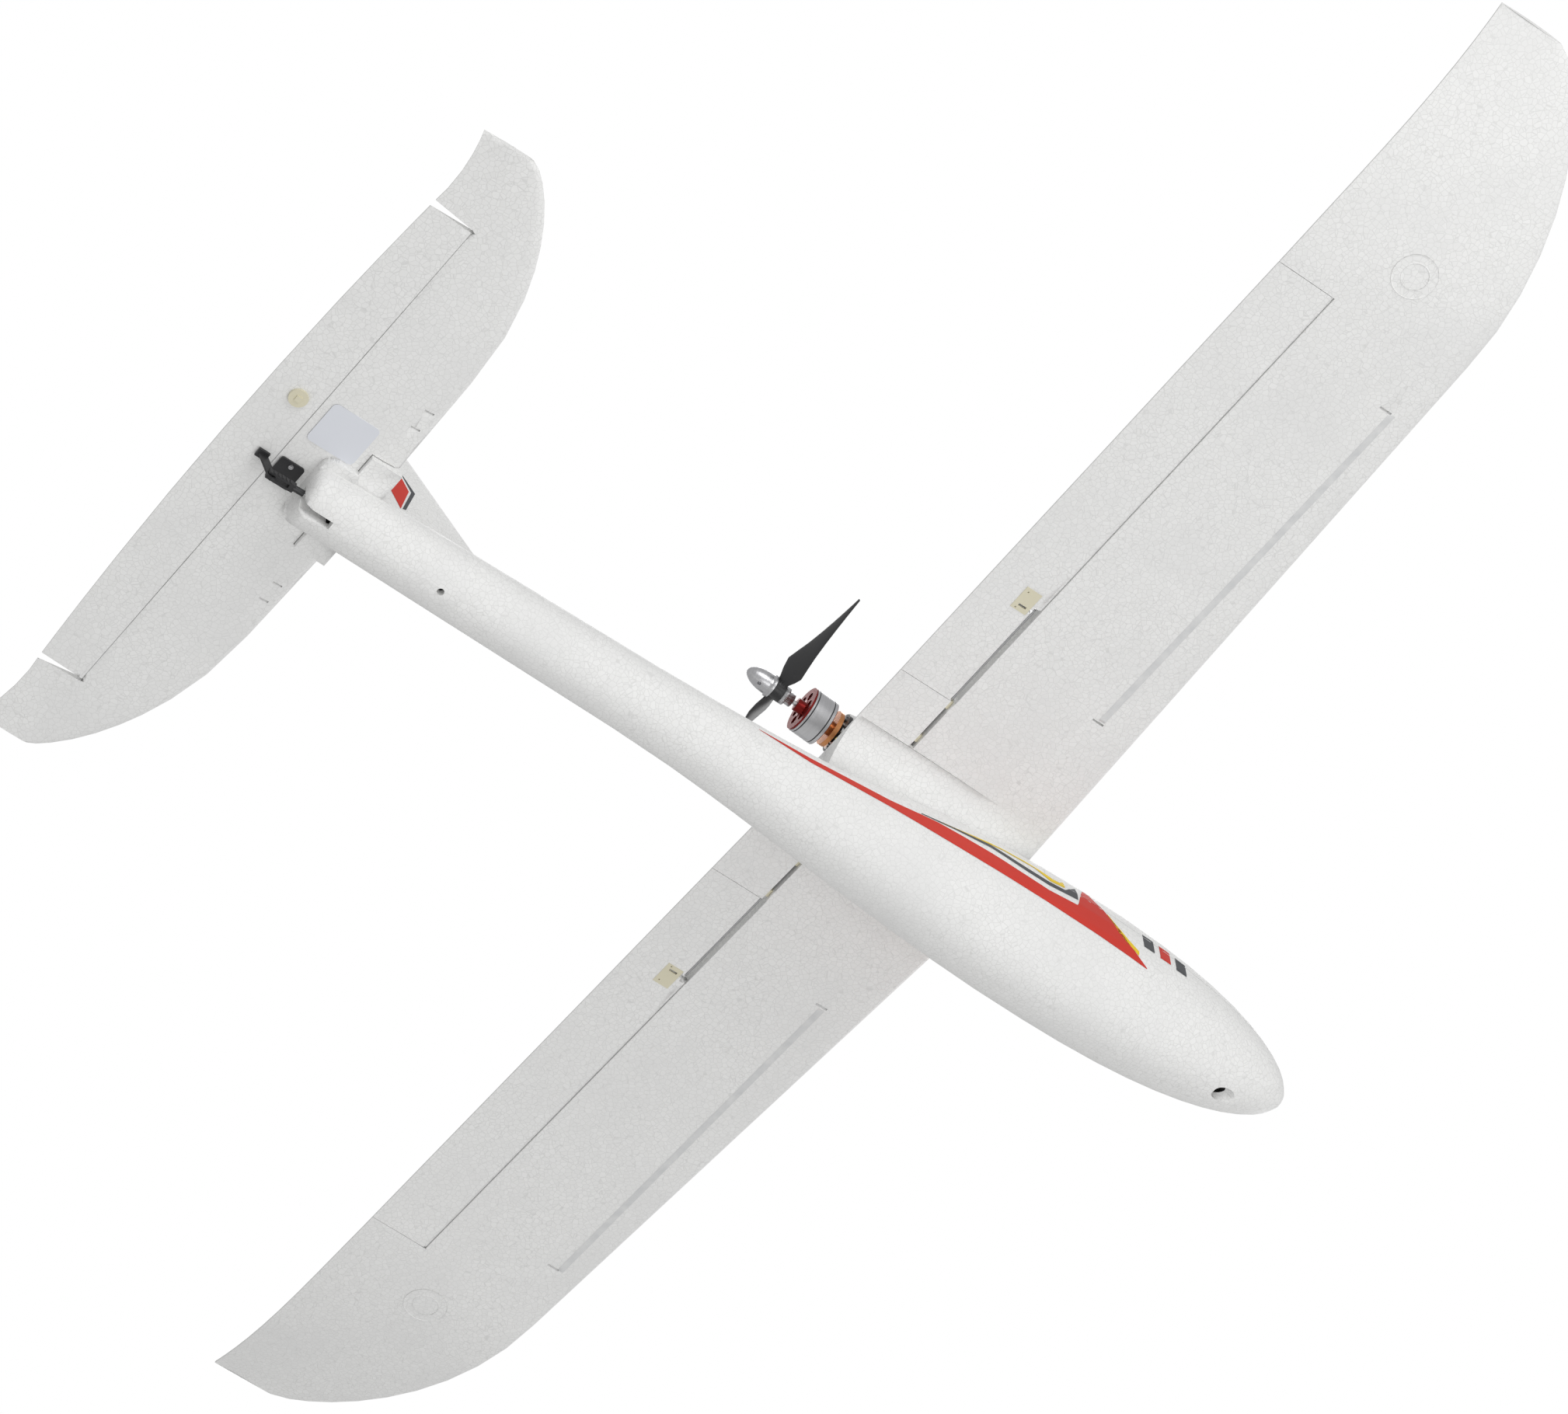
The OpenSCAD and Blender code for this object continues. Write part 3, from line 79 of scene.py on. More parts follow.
class Shader:
    """A Principled material with the few node shortcuts that the materials below share."""

    def __init__(self, name, roughness=0.5, metallic=0.0, coat=0.0, ior=1.5):
        self.material = bpy.data.materials.new(name)
        self.material.use_nodes = True
        self.tree = self.material.node_tree
        self.bsdf = self.tree.nodes["Principled BSDF"]
        self.bsdf.inputs["Roughness"].default_value = roughness
        self.bsdf.inputs["Metallic"].default_value = metallic
        self.bsdf.inputs["Coat Weight"].default_value = coat
        self.bsdf.inputs["IOR"].default_value = ior
        self.place = self.tree.nodes.new("ShaderNodeTexCoord").outputs["Object"]

    def node(self, kind, **settings):
        made = self.tree.nodes.new(kind)
        for key, value in settings.items():
            if key in made.inputs:
                made.inputs[key].default_value = value
            else:
                setattr(made, key, value)
        return made

    def link(self, a, b):
        self.tree.links.new(a, b)
        return b

    def stretched(self, scale):
        """The object coordinates, scaled by a different amount on each axis."""
        mapping = self.node("ShaderNodeMapping", Scale=scale)
        self.link(self.place, mapping.inputs["Vector"])
        return mapping.outputs["Vector"]

    def noise(self, scale, detail=3.0, at=None):
        made = self.node("ShaderNodeTexNoise", Scale=scale, Detail=detail)
        self.link(at or self.place, made.inputs["Vector"])
        return made.outputs["Fac"]

    def voronoi(self, scale, feature="F1", output="Distance"):
        made = self.node("ShaderNodeTexVoronoi", feature=feature)
        made.inputs["Scale"].default_value = scale
        self.link(self.place, made.inputs["Vector"])
        return made.outputs[output]

    def wave(self, scale, direction):
        made = self.node("ShaderNodeTexWave", wave_type="BANDS", bands_direction=direction)
        made.inputs["Scale"].default_value = scale
        self.link(self.place, made.inputs["Vector"])
        return made.outputs["Fac"]

    def fit(self, value, low, high, from_low=0.0, from_high=1.0):
        """Turns a value between from_low and from_high into one between low and high."""
        made = self.node("ShaderNodeMapRange")
        limits = {"From Min": from_low, "From Max": from_high, "To Min": low, "To Max": high}
        for key, number in limits.items():
            made.inputs[key].default_value = number
        self.link(value, made.inputs["Value"])
        return made.outputs["Result"]

    def mix(self, factor, a, b):
        """Mixes two colours, given as RGB triples or as sockets."""
        made = self.node("ShaderNodeMix", data_type="RGBA")
        self.link(factor, made.inputs["Factor"])
        for colour, socket in ((a, made.inputs[6]), (b, made.inputs[7])):
            if isinstance(colour, tuple):
                socket.default_value = (*colour, 1)
            else:
                self.link(colour, socket)
        return made.outputs[2]

    def colour(self, value):
        self.link(value, self.bsdf.inputs["Base Color"])

    def roughness(self, value):
        self.link(value, self.bsdf.inputs["Roughness"])

    def bump(self, value, depth, strength=0.5):
        made = self.node("ShaderNodeBump", Strength=strength, Distance=depth)
        self.link(value, made.inputs["Height"])
        if self.bsdf.inputs["Normal"].is_linked:
            self.link(self.bsdf.inputs["Normal"].links[0].from_socket, made.inputs["Normal"])
        self.link(made.outputs["Normal"], self.bsdf.inputs["Normal"])


# Noise keeps to about this range, so it is stretched from here to the limits that are wanted.
NOISE_LOW, NOISE_HIGH = 0.3, 0.7


def speckled(name, dark, light, roughness=0.5, metallic=0.0, scale=300.0, depth=2e-5, coat=0.0):
    """A material whose colour and roughness drift a little, with a fine grain."""
    s = Shader(name, roughness, metallic, coat)
    s.colour(s.mix(s.noise(scale / 6), dark, light))
    drift = s.noise(scale / 10)
    s.roughness(s.fit(drift, roughness * 0.85, roughness * 1.15, NOISE_LOW, NOISE_HIGH))
    s.bump(s.noise(scale, 5), depth)
    return s.material


BEADS = 1 / 0.0034         # foam beads per metre
SEAM = 0.07                # width of the seam between two beads, as a part of a bead
SEAM_WHITE = (0.70, 0.70, 0.69)
FOAM_WHITE = (0.87, 0.87, 0.86)
DULL_BEAD = (0.765, 0.765, 0.755)
DULL_CLOUD = (0.765, 0.765, 0.76)


def foam():
    """Moulded foam: beads pressed flat against the mould, with faint seams between them."""
    s = Shader("foam_beads", 0.55, ior=1.4)
    seams = s.fit(s.voronoi(BEADS, "DISTANCE_TO_EDGE"), 0.0, 1.0, 0.0, SEAM)
    faces = s.mix(seams, SEAM_WHITE, FOAM_WHITE)
    beads = s.mix(s.fit(s.voronoi(BEADS, output="Color"), 0.0, 0.5), faces, DULL_BEAD)
    cloud = s.fit(s.noise(14, 4), 0.0, 0.55, 0.45, 0.75)
    s.colour(s.mix(cloud, beads, DULL_CLOUD))
    s.roughness(s.fit(s.noise(60), 0.48, 0.64, NOISE_LOW, NOISE_HIGH))
    s.bump(seams, 0.00016, 0.3)
    s.bump(s.noise(45, 3), 0.0007, 0.18)
    return s.material


def carbon():
    """Black tube, with the fine lines of woven fibre both ways."""
    s = Shader("carbon_weave", 0.35, coat=0.3)
    across = s.wave(900, "X")
    along = s.wave(900, "Y")
    s.colour(s.mix(across, (0.018, 0.018, 0.02), (0.05, 0.05, 0.055)))
    s.bump(along, 3e-5)
    return s.material


def plywood():
    """Light wood, with its grain drawn out along X."""
    s = Shader("plywood_grain", 0.65)
    grain = s.noise(60, 6, s.stretched((0.25, 3, 3)))
    s.colour(s.mix(grain, (0.42, 0.27, 0.13), (0.66, 0.48, 0.27)))
    s.bump(grain, 8e-5)
    return s.material


def brushed(name, dark, light, stretch=(1, 1, 40)):
    """Metal with fine lines, as turning or brushing leaves it."""
    s = Shader(name, 0.3, 1.0)
    lines = s.noise(160, 2, s.stretched(stretch))
    s.colour(s.mix(lines, dark, light))
    s.roughness(s.fit(lines, 0.28, 0.36, NOISE_LOW, NOISE_HIGH))
    s.bump(lines, 2e-6, 0.15)
    return s.material


LEAD_NEAR, LEAD_FAR = 0.0012, 0.0020   # Y between which the middle lead gives way to the outer one


def wires():
    """The three motor leads, told apart by where they lie across the model."""
    s = Shader("wire_sleeves", 0.45)
    split = s.node("ShaderNodeSeparateXYZ")
    s.link(s.place, split.inputs["Vector"])
    port_side = s.fit(split.outputs["Y"], 0.0, 1.0, LEAD_NEAR, LEAD_FAR)
    starboard_side = s.fit(split.outputs["Y"], 1.0, 0.0, -LEAD_FAR, -LEAD_NEAR)
    red_lead = s.mix(s.noise(90), (0.20, 0.035, 0.02), (0.28, 0.06, 0.03))
    two = s.mix(port_side, red_lead, (0.03, 0.03, 0.032))
    s.colour(s.mix(starboard_side, two, (0.78, 0.56, 0.05)))
    s.bump(s.noise(700), 2e-5)
    return s.material


def battery_wrap():
    """Blue shrink wrap with plain silver bands."""
    s = Shader("battery_wrap", 0.3, coat=0.4)
    bands = s.fit(s.wave(14, "X"), 0.0, 1.0, 0.86, 0.9)
    s.colour(s.mix(bands, (0.03, 0.10, 0.30), (0.75, 0.76, 0.78)))
    s.bump(s.noise(120), 5e-5)
    return s.material


def circuit():
    """Green board with paler patches that stand a little proud."""
    s = Shader("circuit_board", 0.45)
    tracks = s.fit(s.voronoi(420), 0.0, 1.0, 0.25, 0.45)
    s.colour(s.mix(tracks, (0.02, 0.10, 0.05), (0.04, 0.17, 0.09)))
    s.bump(tracks, 4e-5)
    return s.material


def webbing():
    """Black strap with a slanting weave."""
    s = Shader("strap_webbing", 0.85)
    weave = s.wave(700, "DIAGONAL")
    s.colour(s.mix(weave, (0.02, 0.02, 0.022), (0.06, 0.06, 0.065)))
    s.bump(weave, 8e-5)
    return s.material


def glossy_print(name, dark, light):
    """A printed decal: an even colour with a faint orange peel."""
    return speckled(name, dark, light, 0.5, scale=90, depth=6e-5, coat=0.04)


MATERIALS = {
    "foam": foam(),
    "carbon": carbon(),
    "cream_plastic": speckled("cream_plastic", (0.66, 0.62, 0.46), (0.74, 0.70, 0.54), 0.42),
    "black_plastic": speckled("black_plastic", (0.014, 0.014, 0.015), (0.028, 0.028, 0.030), 0.42),
    "plywood": plywood(),
    "steel": brushed("steel_lines", (0.50, 0.50, 0.51), (0.66, 0.66, 0.67)),
    "aluminium": brushed("turned_aluminium", (0.50, 0.50, 0.51), (0.64, 0.64, 0.66),
                         stretch=(6, 0.3, 0.3)),
    "red_anodised": speckled("red_anodised", (0.17, 0.004, 0.003), (0.25, 0.010, 0.008),
                             0.36, 0.7, 200, 4e-6),
    "winding": brushed("copper_winding", (0.45, 0.17, 0.06), (0.75, 0.36, 0.16),
                       stretch=(30, 1, 1)),
    "wire": wires(),
    "battery": battery_wrap(),
    "circuit": circuit(),
    "servo_case": speckled("servo_case", (0.02, 0.05, 0.19), (0.03, 0.07, 0.24), 0.35, coat=0.2),
    "white_plastic": speckled("white_plastic", (0.78, 0.78, 0.76), (0.86, 0.86, 0.84), 0.4),
    "strap": webbing(),
    "sticker": speckled("blank_label", (0.70, 0.72, 0.77), (0.76, 0.78, 0.83), 0.35, scale=80),
    "propeller": speckled("propeller_nylon", (0.018, 0.018, 0.019), (0.034, 0.034, 0.036),
                          0.36, scale=240),
}
RED = glossy_print("red_print", (0.56, 0.022, 0.010), (0.64, 0.034, 0.016))
GREY = glossy_print("grey_print", (0.058, 0.062, 0.068), (0.078, 0.082, 0.088))
YELLOW = glossy_print("yellow_print", (0.80, 0.56, 0.012), (0.86, 0.62, 0.025))

for node, cad in frame["nodes"].items():
    for used in cad.material_slots:
        used.material = MATERIALS[SLOT_OF[node]]


# ---------- mesh helpers ----------


def piece_from(name, mesh, body, material):
    """Makes an object from a bmesh or mesh, and lets it ride on a body."""
    if isinstance(mesh, bmesh.types.BMesh):
        data = bpy.data.meshes.new(name)
        mesh.normal_update()
        mesh.to_mesh(data)
        mesh.free()
        mesh = data
    mesh.materials.clear()
    mesh.materials.append(material)
    made = bpy.data.objects.new(name, mesh)
    bpy.context.scene.collection.objects.link(made)
    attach(made, body)
    return made


PARTED = ("fuselage_left", "fuselage_right")   # halves that meet on the centre plane
ON_CENTRE = 1e-5           # a vertex nearer to the centre plane than this lies on it
LEAN = 0.5                 # a normal there that leans further sideways belongs to the joint's face


def even_over_parting(mesh):
    """Lays the outside's normals on the centre plane into it, so the halves shade as one."""
    normals = [corner.vector.copy() for corner in mesh.corner_normals]
    for loop, normal in zip(mesh.loops, normals):
        if abs(mesh.vertices[loop.vertex_index].co.y) < ON_CENTRE and abs(normal.y) < LEAN:
            normal.y = 0
            normal.normalize()
    mesh.normals_split_custom_set(normals)


WELD = 2e-6                # vertices nearer than this are one
NO_LENGTH = 1e-6           # an edge shorter than this is dropped
CURVE = math.radians(28)   # facets that meet at less than this stand for a curve


def smooth_copy(node):
    """A welded copy of a faceted CAD node, shaded smooth where its facets stand for a curve."""
    work = bmesh.new()
    work.from_mesh(frame["nodes"][node].data)
    bmesh.ops.remove_doubles(work, verts=work.verts, dist=WELD)
    bmesh.ops.dissolve_degenerate(work, edges=work.edges, dist=NO_LENGTH)
    data = bpy.data.meshes.new(node + "_skin")
    work.to_mesh(data)
    work.free()
    data.shade_smooth()
    data.set_sharp_from_angle(angle=CURVE)
    slot = SLOT_OF[node]
    made = piece_from(node + "_skin", data, BODY_OF[node], MATERIALS[slot])
    if node in PARTED:
        even_over_parting(data)
    else:
        evener = made.modifiers.new("even_normals", "WEIGHTED_NORMAL")
        evener.keep_sharp = True
        evener.weight = 60
    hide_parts(node)


def finder(*nodes):
    """One search tree over the given CAD nodes."""
    corners, faces = [], []
    for node in nodes:
        mesh = frame["nodes"][node].data
        start = len(corners)
        corners.extend(v.co.copy() for v in mesh.vertices)
        faces.extend([start + v for v in polygon.vertices] for polygon in mesh.polygons)
    return BVHTree.FromPolygons(corners, faces)


PRINT = 0.00022            # how far a print stands off the foam
MEET = 1e-6                # points of a sheet nearer than this are one


def drape(work, tree, towards_of, lift=PRINT):
    """Moves each vertex of a bmesh along its own ray onto the surface, and deletes what misses."""
    lost = []
    for vertex in work.verts:
        way = towards_of(vertex.co)
        hit, normal, _, _ = tree.ray_cast(vertex.co, way)
        if hit is None:
            lost.append(vertex)
            continue
        if normal.dot(way) > 0:
            normal = -normal
        vertex.co = hit + normal * lift
    bmesh.ops.delete(work, geom=lost, context="VERTS")


def grid(rows):
    """A bmesh sheet through rows of points that all have the same count."""
    work = bmesh.new()
    made = [[work.verts.new(p) for p in row] for row in rows]
    for a, b in zip(made, made[1:]):
        for i in range(len(a) - 1):
            work.faces.new((a[i], a[i + 1], b[i + 1], b[i]))
    return work


def between(points, x):
    """The value at x of a line through (x, value) points."""
    for (x0, v0), (x1, v1) in zip(points, points[1:]):
        if x <= x1:
            return v0 + (v1 - v0) * max(0.0, (x - x0) / (x1 - x0))
    return points[-1][1]


# ---------- smooth skins ----------

CURVED_SLOTS = ("foam", "propeller", "aluminium", "red_anodised")

for node, used in SLOT_OF.items():
    if used in CURVED_SLOTS or node == "motor_leads":
        smooth_copy(node)

# ---------- printed decals on the fuselage ----------

FUSELAGE = finder("fuselage_left", "fuselage_right", "canopy")
AXIS_Z = 0.0528            # height of the fuselage axis that the print angles turn about
REACH = 0.09               # distance from that axis at which each ray starts
SPLIT_X, SPLIT_Z = 0.196, 0.0667       # rear end of the joint under the canopy
SPLIT_SLOPE = math.radians(3)          # how far that joint falls towards the nose
SPLIT_GAP = 0.0003         # how far a print on the canopy stays clear of the joint


def to_axis(place):
    """From a place beside the fuselage straight towards its axis."""
    return (Vector((place.x, 0, AXIS_Z)) - place).normalized()


def hull_decal(name, low, high, material, steps, across):
    """A strip on both sides of the fuselage, between a low and a high edge.

    Each edge is a list of (x in mm, angle up from the waterline in degrees).
    """
    first = max(low[0][0], high[0][0])
    last = min(low[-1][0], high[-1][0])
    for word, side in (("right", -1), ("left", 1)):
        rows = []
        for i in range(steps + 1):
            x = first + (last - first) * i / steps
            a, b = between(low, x), between(high, x)
            row = []
            for j in range(across + 1):
                turn = math.radians(a + (b - a) * j / across)
                out = Vector((0, side * math.cos(turn), math.sin(turn)))
                row.append(Vector((x * MM, 0, AXIS_Z)) + out * REACH)
            rows.append(row)
        work = grid(rows)
        bmesh.ops.remove_doubles(work, verts=work.verts, dist=MEET)
        drape(work, FUSELAGE, to_axis)
        # the print is cut at the canopy's joint, and its upper part lifts off with the canopy
        over = Vector((math.sin(SPLIT_SLOPE), 0, math.cos(SPLIT_SLOPE)))
        for body, above in (("airframe", False), ("canopy", True)):
            part = work.copy()
            edge = Vector((SPLIT_X, 0, SPLIT_Z)) + over * (SPLIT_GAP if above else 0.0)
            everything = part.verts[:] + part.edges[:] + part.faces[:]
            bmesh.ops.bisect_plane(part, geom=everything, plane_co=edge, plane_no=over,
                                   clear_outer=not above, clear_inner=above)
            if above:
                aft = [v for v in part.verts if v.co.x < SPLIT_X + SPLIT_GAP]
                bmesh.ops.delete(part, geom=aft, context="VERTS")
            if part.faces:
                bmesh.ops.recalc_face_normals(part, faces=part.faces)
                made = piece_from(f"{name}_{word}_{body}", part, body, material)
                made.data.shade_smooth()
            else:
                part.free()
        work.free()


# the long red swoosh, from a point on the boom to the tip of its arrow
hull_decal("red_swoosh",
           [(-28, -2.4), (12, -12), (72, -14), (123, -17), (180, -19.5), (240, -22.6), (280, -26)],
           [(-28, -2), (12, -5), (72, -4.5), (110, 1), (150, -0.6), (197, -5.5), (221, -2.4),
            (224, 16), (230, 36), (240, 19), (251, 4), (265, -13.5), (280, -25)], RED, 300, 36)
hull_decal("grey_stripe",
           [(96, 0), (122, 5), (151, 8.5), (180, 3), (197, 1), (221.5, 6)],
           [(96, 1.5), (122, 7.8), (151, 13), (180, 8.8), (197, 7.2), (211, 9.5), (221.5, 26)],
           GREY, 160, 16)
hull_decal("yellow_stripe",
           [(111, 3.8), (137, 10.5), (163, 15.8), (186, 16.4), (199, 9.6), (211, 12.8)],
           [(111, 4.5), (137, 12.1), (163, 19), (187, 20.5), (201, 15), (206, 16), (211, 23)],
           YELLOW, 140, 12)
hull_decal("yellow_accent",
           [(246, 11), (254, -4), (261, -11), (272, -18)],
           [(246, 12.5), (254, 1), (263, -7), (272, -13)], YELLOW, 60, 10)
# plain upright bars where the real one carries a name
BAR_LONG, BAR_LOW, BAR_HIGH = 9, -2, 17     # mm along the fuselage, and degrees round it
for count, (start, ink) in enumerate(((276, GREY), (290, RED), (304, GREY))):
    hull_decal(f"side_bar_{count + 1}",
               [(start, BAR_LOW - count), (start + BAR_LONG, BAR_LOW - count)],
               [(start, BAR_HIGH - count), (start + BAR_LONG, BAR_HIGH - count)], ink, 10, 24)

# ---------- printed marks on the fin ----------

FIN = finder("fin")
BESIDE_FIN = 0.03          # distance from the centre plane at which each ray starts


def fin_mark(name, corners, material, steps=8):
    """A four-cornered print, given as (x, z) in mm, on both faces of the fin."""
    a, b, c, d = [Vector((x * MM, 0, z * MM)) for x, z in corners]
    for word, side in (("right", -1), ("left", 1)):
        start = Vector((0, side * BESIDE_FIN, 0))
        inward = Vector((0, -side, 0))
        rows = []
        for i in range(steps + 1):
            t = i / steps
            low, high = a.lerp(d, t), b.lerp(c, t)
            rows.append([low.lerp(high, j / steps) + start for j in range(steps + 1)])
        work = grid(rows)
        drape(work, FIN, lambda place: inward)
        bmesh.ops.recalc_face_normals(work, faces=work.faces)
        piece_from(f"{name}_{word}", work, "airframe", material).data.shade_smooth()


fin_mark("fin_diamond", [(-303, 105.5), (-297, 129), (-288.5, 114.5), (-294, 90)], RED)
fin_mark("fin_edge", [(-296, 131), (-294.6, 128.6), (-286.6, 115.2), (-283.7, 116.4)], GREY)
fin_mark("fin_foot", [(-286.6, 115.2), (-283.7, 116.4), (-290, 92), (-292.6, 91)], GREY)

# ---------- blank sticker under the tail ----------


LABEL_CORNER = 0.0035


def rounded_rectangle(low, high, z, radius, turns=8):
    """The outline of a box's plan at height z, with its corners rounded."""
    points = []
    corners = ((high.x, high.y), (low.x, high.y), (low.x, low.y), (high.x, low.y))
    for k, (cx, cy) in enumerate(corners):
        cx += -radius if cx == high.x else radius
        cy += -radius if cy == high.y else radius
        for i in range(turns + 1):
            angle = math.pi / 2 * (k + i / turns)
            points.append(Vector((cx + radius * math.cos(angle), cy + radius * math.sin(angle), z)))
    return points


def slab(outline, thickness):
    """A closed plate: an outline in one plane, given its thickness upwards."""
    work = bmesh.new()
    bottom = [work.verts.new(p) for p in outline]
    top = [work.verts.new(p + UP * thickness) for p in outline]
    work.faces.new(bottom)
    work.faces.new(top)
    for i in range(len(outline)):
        work.faces.new((bottom[i - 1], bottom[i], top[i], top[i - 1]))
    bmesh.ops.recalc_face_normals(work, faces=work.faces)
    return work


low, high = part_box("blank_sticker")
outline = rounded_rectangle(low, high, low.z, LABEL_CORNER)
sheet = piece_from("blank_label", slab(outline, high.z - low.z), "airframe",
                   MATERIALS["sticker"])
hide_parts("blank_sticker")

# ---------- mould rings near the wing tips ----------

WINGS = finder("left_wing", "right_wing")
RING_PLACE = (106, 521)    # X and Y of the rings' centre, mm
RINGS = ((15.0, 14.2), (9.6, 9.0))     # outer and inner radius of each ring, mm
RING_PROUD = 0.00045       # how far the middle of a ring stands out of the foam
RING_SUNK = 0.0001         # how far its edges lie in it


def mould_ring(name, side, outer, inner, turns=72):
    """A low ridge round the mark that the mould leaves in the underside of a wing."""
    centre = Vector((RING_PLACE[0] * MM, side * RING_PLACE[1] * MM, 0))
    rows = []
    for i in range(turns + 1):
        angle = 2 * math.pi * i / turns
        spoke = Vector((math.cos(angle), math.sin(angle), 0))
        rows.append([centre + spoke * r * MM for r in (inner, (inner + outer) / 2, outer)])
    work = grid(rows)
    bmesh.ops.remove_doubles(work, verts=work.verts, dist=MEET)
    ridge = {v.index: k % len(rows[0]) == 1 for k, v in enumerate(work.verts)}
    drape(work, WINGS, lambda place: UP, 0.0)
    for v in work.verts:
        v.co.z -= RING_PROUD if ridge.get(v.index) else -RING_SUNK
    bmesh.ops.recalc_face_normals(work, faces=work.faces)
    piece_from(name, work, "airframe", MATERIALS["foam"]).data.shade_smooth()


for word, side in (("left", 1), ("right", -1)):
    for count, (outer, inner) in enumerate(RINGS):
        mould_ring(f"mould_ring_{word}_{count + 1}", side, outer, inner)

# ---------- the spars, showing faintly through the underside of the wings ----------

SPAR_X = (155.6, 158, 160.4)   # edges and middle of the line, mm
SPAR_Y = (145, 437)            # its inner and outer end, mm
SPAR_STEPS = 146
SPAR_PROUD = 0.00008
SPAR_GREY = speckled("spar_shadow", (0.56, 0.57, 0.58), (0.80, 0.80, 0.79), 0.6,
                     scale=900, depth=5e-5)

for word, side in (("left", 1), ("right", -1)):
    rows = []
    for i in range(SPAR_STEPS + 1):
        y = side * (SPAR_Y[0] + (SPAR_Y[1] - SPAR_Y[0]) * i / SPAR_STEPS) * MM
        rows.append([Vector((x * MM, y, 0)) for x in SPAR_X])
    work = grid(rows)
    drape(work, WINGS, lambda place: UP, SPAR_PROUD)
    bmesh.ops.recalc_face_normals(work, faces=work.faces)
    piece_from(f"spar_line_{word}", work, "airframe", SPAR_GREY).data.shade_smooth()

# ---------- motor ----------

THRUST_TILT = math.radians(7)
BACK = Vector((-math.cos(THRUST_TILT), 0, math.sin(THRUST_TILT)))   # along the shaft, to the rear
HUB = Vector((0.008, 0, 0.157))        # middle of the propeller
SHARP_TURN = math.radians(30)


def on_thrust(profile, name, body, material, turns=96):
    """Turns a closed profile of (distance behind the hub, radius) in mm round the shaft."""
    side = Vector((0, 1, 0))
    above = BACK.cross(side)
    work = bmesh.new()
    loops = []
    for i in range(turns):
        angle = 2 * math.pi * i / turns
        spoke = side * math.cos(angle) + above * math.sin(angle)
        loops.append([work.verts.new(HUB + BACK * a * MM + spoke * r * MM) for a, r in profile])
    for i in range(turns):
        here, after = loops[i], loops[(i + 1) % turns]
        for j in range(len(profile)):
            k = (j + 1) % len(profile)
            work.faces.new((here[j], here[k], after[k], after[j]))
    bmesh.ops.recalc_face_normals(work, faces=work.faces)
    made = piece_from(name, work, body, material)
    made.data.shade_smooth()
    made.data.set_sharp_from_angle(angle=SHARP_TURN)
    return made


# All in mm, with the radii from the shaft and the places along it from the hub.
CAN_R = 16.0               # the bell in the CAD
SLEEVE_R = CAN_R + 0.35    # outside of the silver sleeve over it
SLEEVE_FOOT_R = CAN_R + 0.02
SLEEVE_ENDS = (-38.6, -22.4)
BEVEL = 0.2                # how far each end of the sleeve runs on down to its foot
GROOVES = (-36.2, -24.0)   # middle of each groove round the sleeve
GROOVE_R = CAN_R + 0.05
GROOVE_TOP, GROOVE_FLOOR = 0.45, 0.3   # half its width at the top and at the floor
GROOVE_SHADE_LOW_R, GROOVE_SHADE_HIGH_R = CAN_R + 0.04, CAN_R + 0.09   # a thin black band on the groove's floor: painted shade, so the groove reads dark
GROOVE_SHADE_HALF = 0.28


def can_profile():
    """A silver sleeve over the bell, with two grooves turned in it."""
    first, last = SLEEVE_ENDS
    outside = [(first, SLEEVE_R)]
    for place in GROOVES:
        outside += [(place - GROOVE_TOP, SLEEVE_R), (place - GROOVE_FLOOR, GROOVE_R),
                    (place + GROOVE_FLOOR, GROOVE_R), (place + GROOVE_TOP, SLEEVE_R)]
    outside.append((last, SLEEVE_R))
    return outside + [(last + BEVEL, SLEEVE_FOOT_R), (first - BEVEL, SLEEVE_FOOT_R)]


on_thrust(can_profile(), "motor_can", "rotor", MATERIALS["aluminium"])
# a thin black band in each groove: painted shade for the groove's hollow, not a part of the motor
for count, place in enumerate(GROOVES):
    on_thrust([(place - GROOVE_SHADE_HALF, GROOVE_SHADE_LOW_R), (place - GROOVE_SHADE_HALF, GROOVE_SHADE_HIGH_R),
               (place + GROOVE_SHADE_HALF, GROOVE_SHADE_HIGH_R), (place + GROOVE_SHADE_HALF, GROOVE_SHADE_LOW_R)],
              f"painted_groove_shade_{count + 1}", "rotor", MATERIALS["black_plastic"])

# ---------- stage: floor, light and camera ----------


def floor_material():
    """Pale from above; clear from below, where the camera looks up past it."""
    s = Shader("studio_floor", 0.8)
    s.colour(s.mix(s.noise(3), (0.80, 0.80, 0.80), (0.84, 0.84, 0.84)))
    clear = s.node("ShaderNodeBsdfTransparent")
    pick = s.node("ShaderNodeMixShader")
    s.link(s.node("ShaderNodeNewGeometry").outputs["Backfacing"], pick.inputs["Fac"])
    s.link(s.bsdf.outputs["BSDF"], pick.inputs[1])
    s.link(clear.outputs["BSDF"], pick.inputs[2])
    s.link(pick.outputs["Shader"], s.tree.nodes["Material Output"].inputs["Surface"])
    return s.material


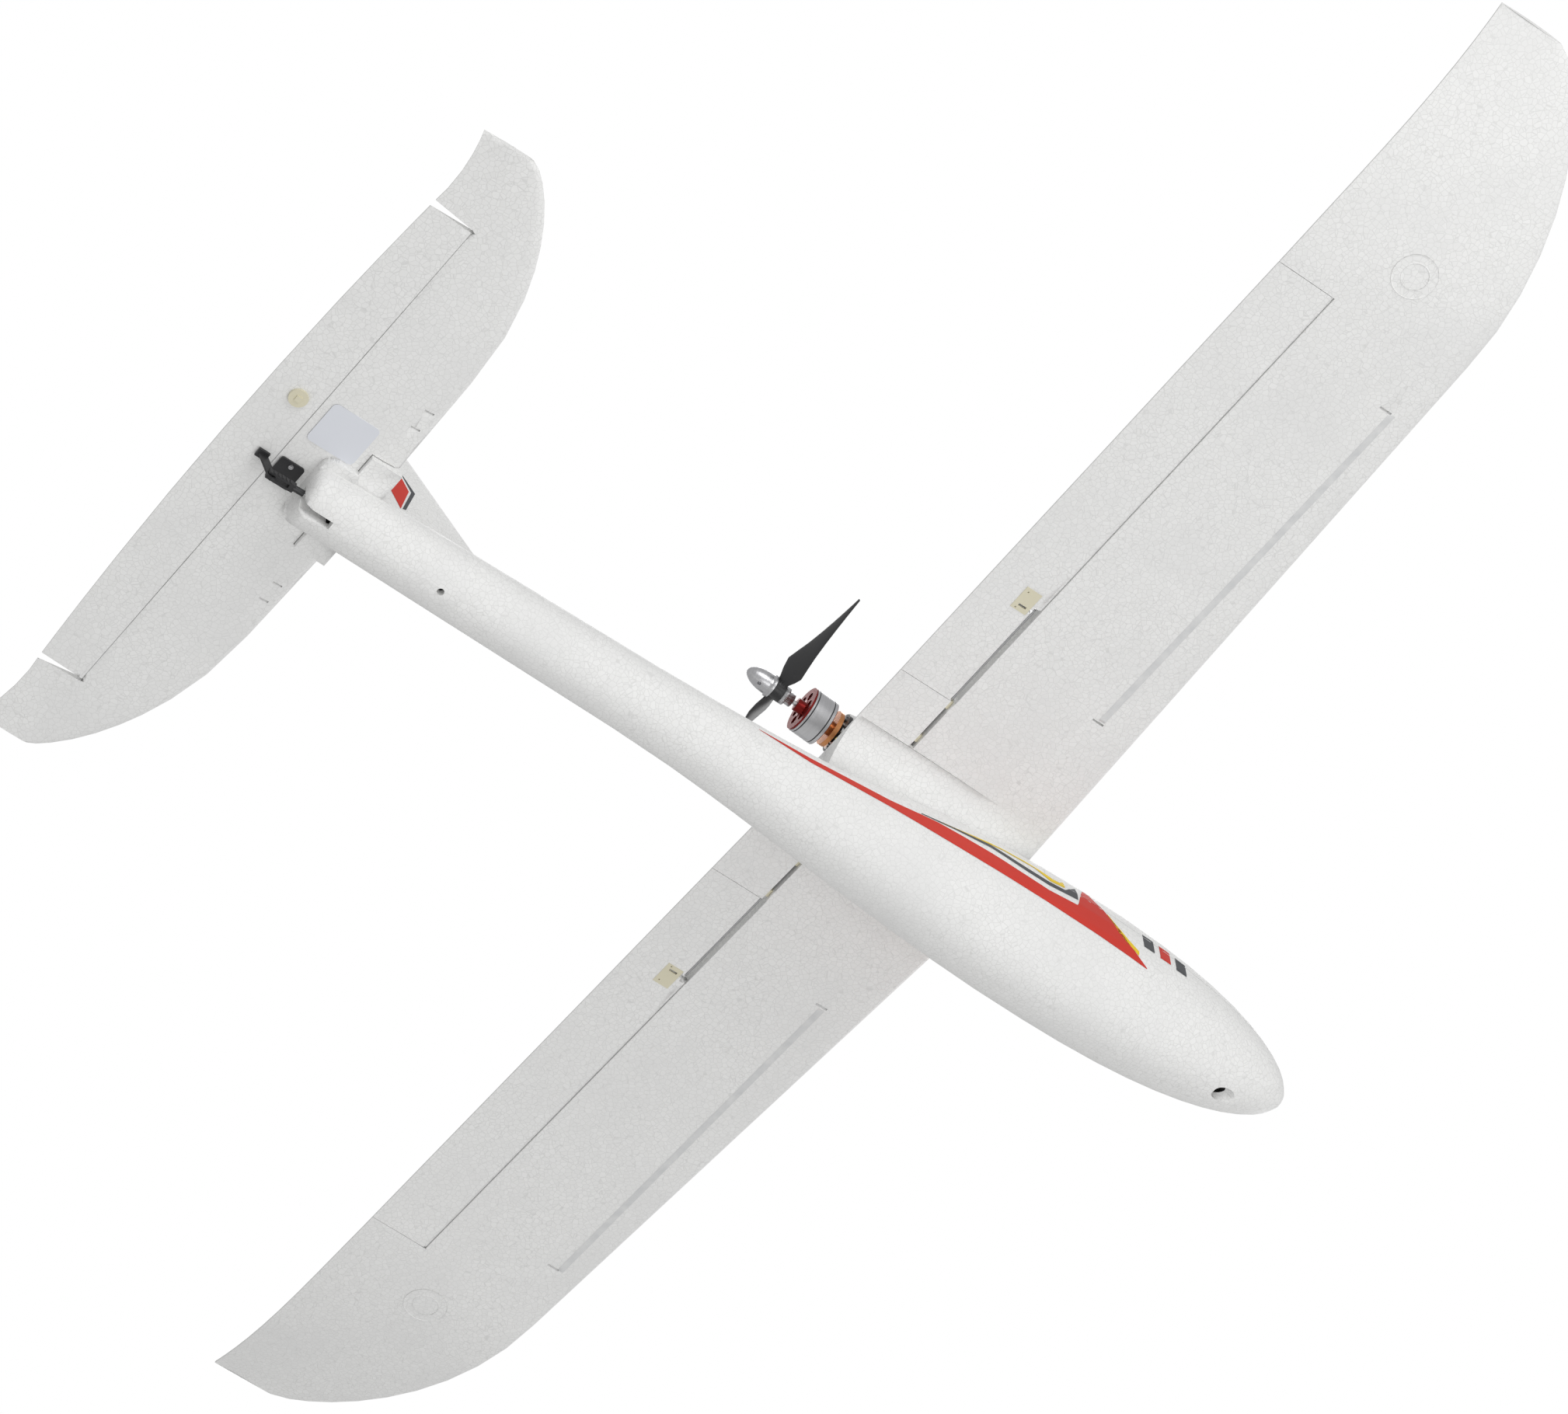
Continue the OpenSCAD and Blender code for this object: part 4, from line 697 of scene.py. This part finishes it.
FLOOR_SIZE, FLOOR_Z = 30, -0.0005
bpy.ops.mesh.primitive_plane_add(size=FLOOR_SIZE, location=(0, 0, FLOOR_Z))
floor = bpy.context.object
floor.name = "studio_floor"
floor.data.materials.append(floor_material())
floor.visible_shadow = False
floor.visible_diffuse = False
floor.visible_glossy = False
floor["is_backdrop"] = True

LIGHTS = [
    # name, direction from the object, distance, size, power
    ("key", (-0.13, -1.07, -0.26), 3.2, 1.8, 31),
    ("under", (0.2, -0.3, -1.0), 3.4, 2.6, 31),
    ("top", (0.3, 0.4, 1.0), 3.2, 2.4, 38),
    ("front", (1.0, 0.5, 0.35), 3.2, 2.0, 14),
]
target = (cad_low + cad_high) / 2
for name, direction, distance, size, power in LIGHTS:
    lamp = bpy.data.lights.new(name, "AREA")
    lamp.shape = "DISK"
    lamp.size = size
    lamp.energy = power
    made = bpy.data.objects.new(name, lamp)
    way = Vector(direction).normalized()
    made.location = target + way * distance
    made.rotation_mode = "QUATERNION"
    made.rotation_quaternion = (-way).to_track_quat("-Z", "Y")
    made.visible_camera = False
    bpy.context.scene.collection.objects.link(made)
    made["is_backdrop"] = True

SKY_LIGHT, BACKDROP_LIGHT = 0.55, 1.0  # what lights the object, and what the camera sees behind it

world = bpy.data.worlds.new("studio")
bpy.context.scene.world = world
world.use_nodes = True
nodes, links = world.node_tree.nodes, world.node_tree.links
background = nodes["Background"]
background.inputs["Color"].default_value = (1, 1, 1, 1)
background.inputs["Strength"].default_value = SKY_LIGHT
backdrop = nodes.new("ShaderNodeBackground")
backdrop.inputs["Color"].default_value = (1, 1, 1, 1)
backdrop.inputs["Strength"].default_value = BACKDROP_LIGHT
pick = nodes.new("ShaderNodeMixShader")
links.new(nodes.new("ShaderNodeLightPath").outputs["Is Camera Ray"], pick.inputs["Fac"])
links.new(background.outputs["Background"], pick.inputs[1])
links.new(backdrop.outputs["Background"], pick.inputs[2])
links.new(pick.outputs["Shader"], nodes["World Output"].inputs["Surface"])
bpy.context.scene.view_settings.view_transform = "Standard"

# the photograph's own view, from below and to starboard
camera_data = bpy.data.cameras.new("camera")
camera_data.lens = 176.6
camera_data.sensor_width = 36
camera_data.clip_start = 0.1
camera = bpy.data.objects.new("camera", camera_data)
across = Vector((0.79335, -0.60877, 0)).normalized()
ahead = Vector((0.35320, 0.46029, 0.81449)).normalized()
upward = across.cross(ahead).normalized()
camera.matrix_world = Matrix((across, upward, -ahead)).transposed().to_4x4()
camera.location = (-1.7515, -2.3008, -3.9281)
bpy.context.scene.collection.objects.link(camera)
bpy.context.scene.camera = camera

low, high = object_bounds()
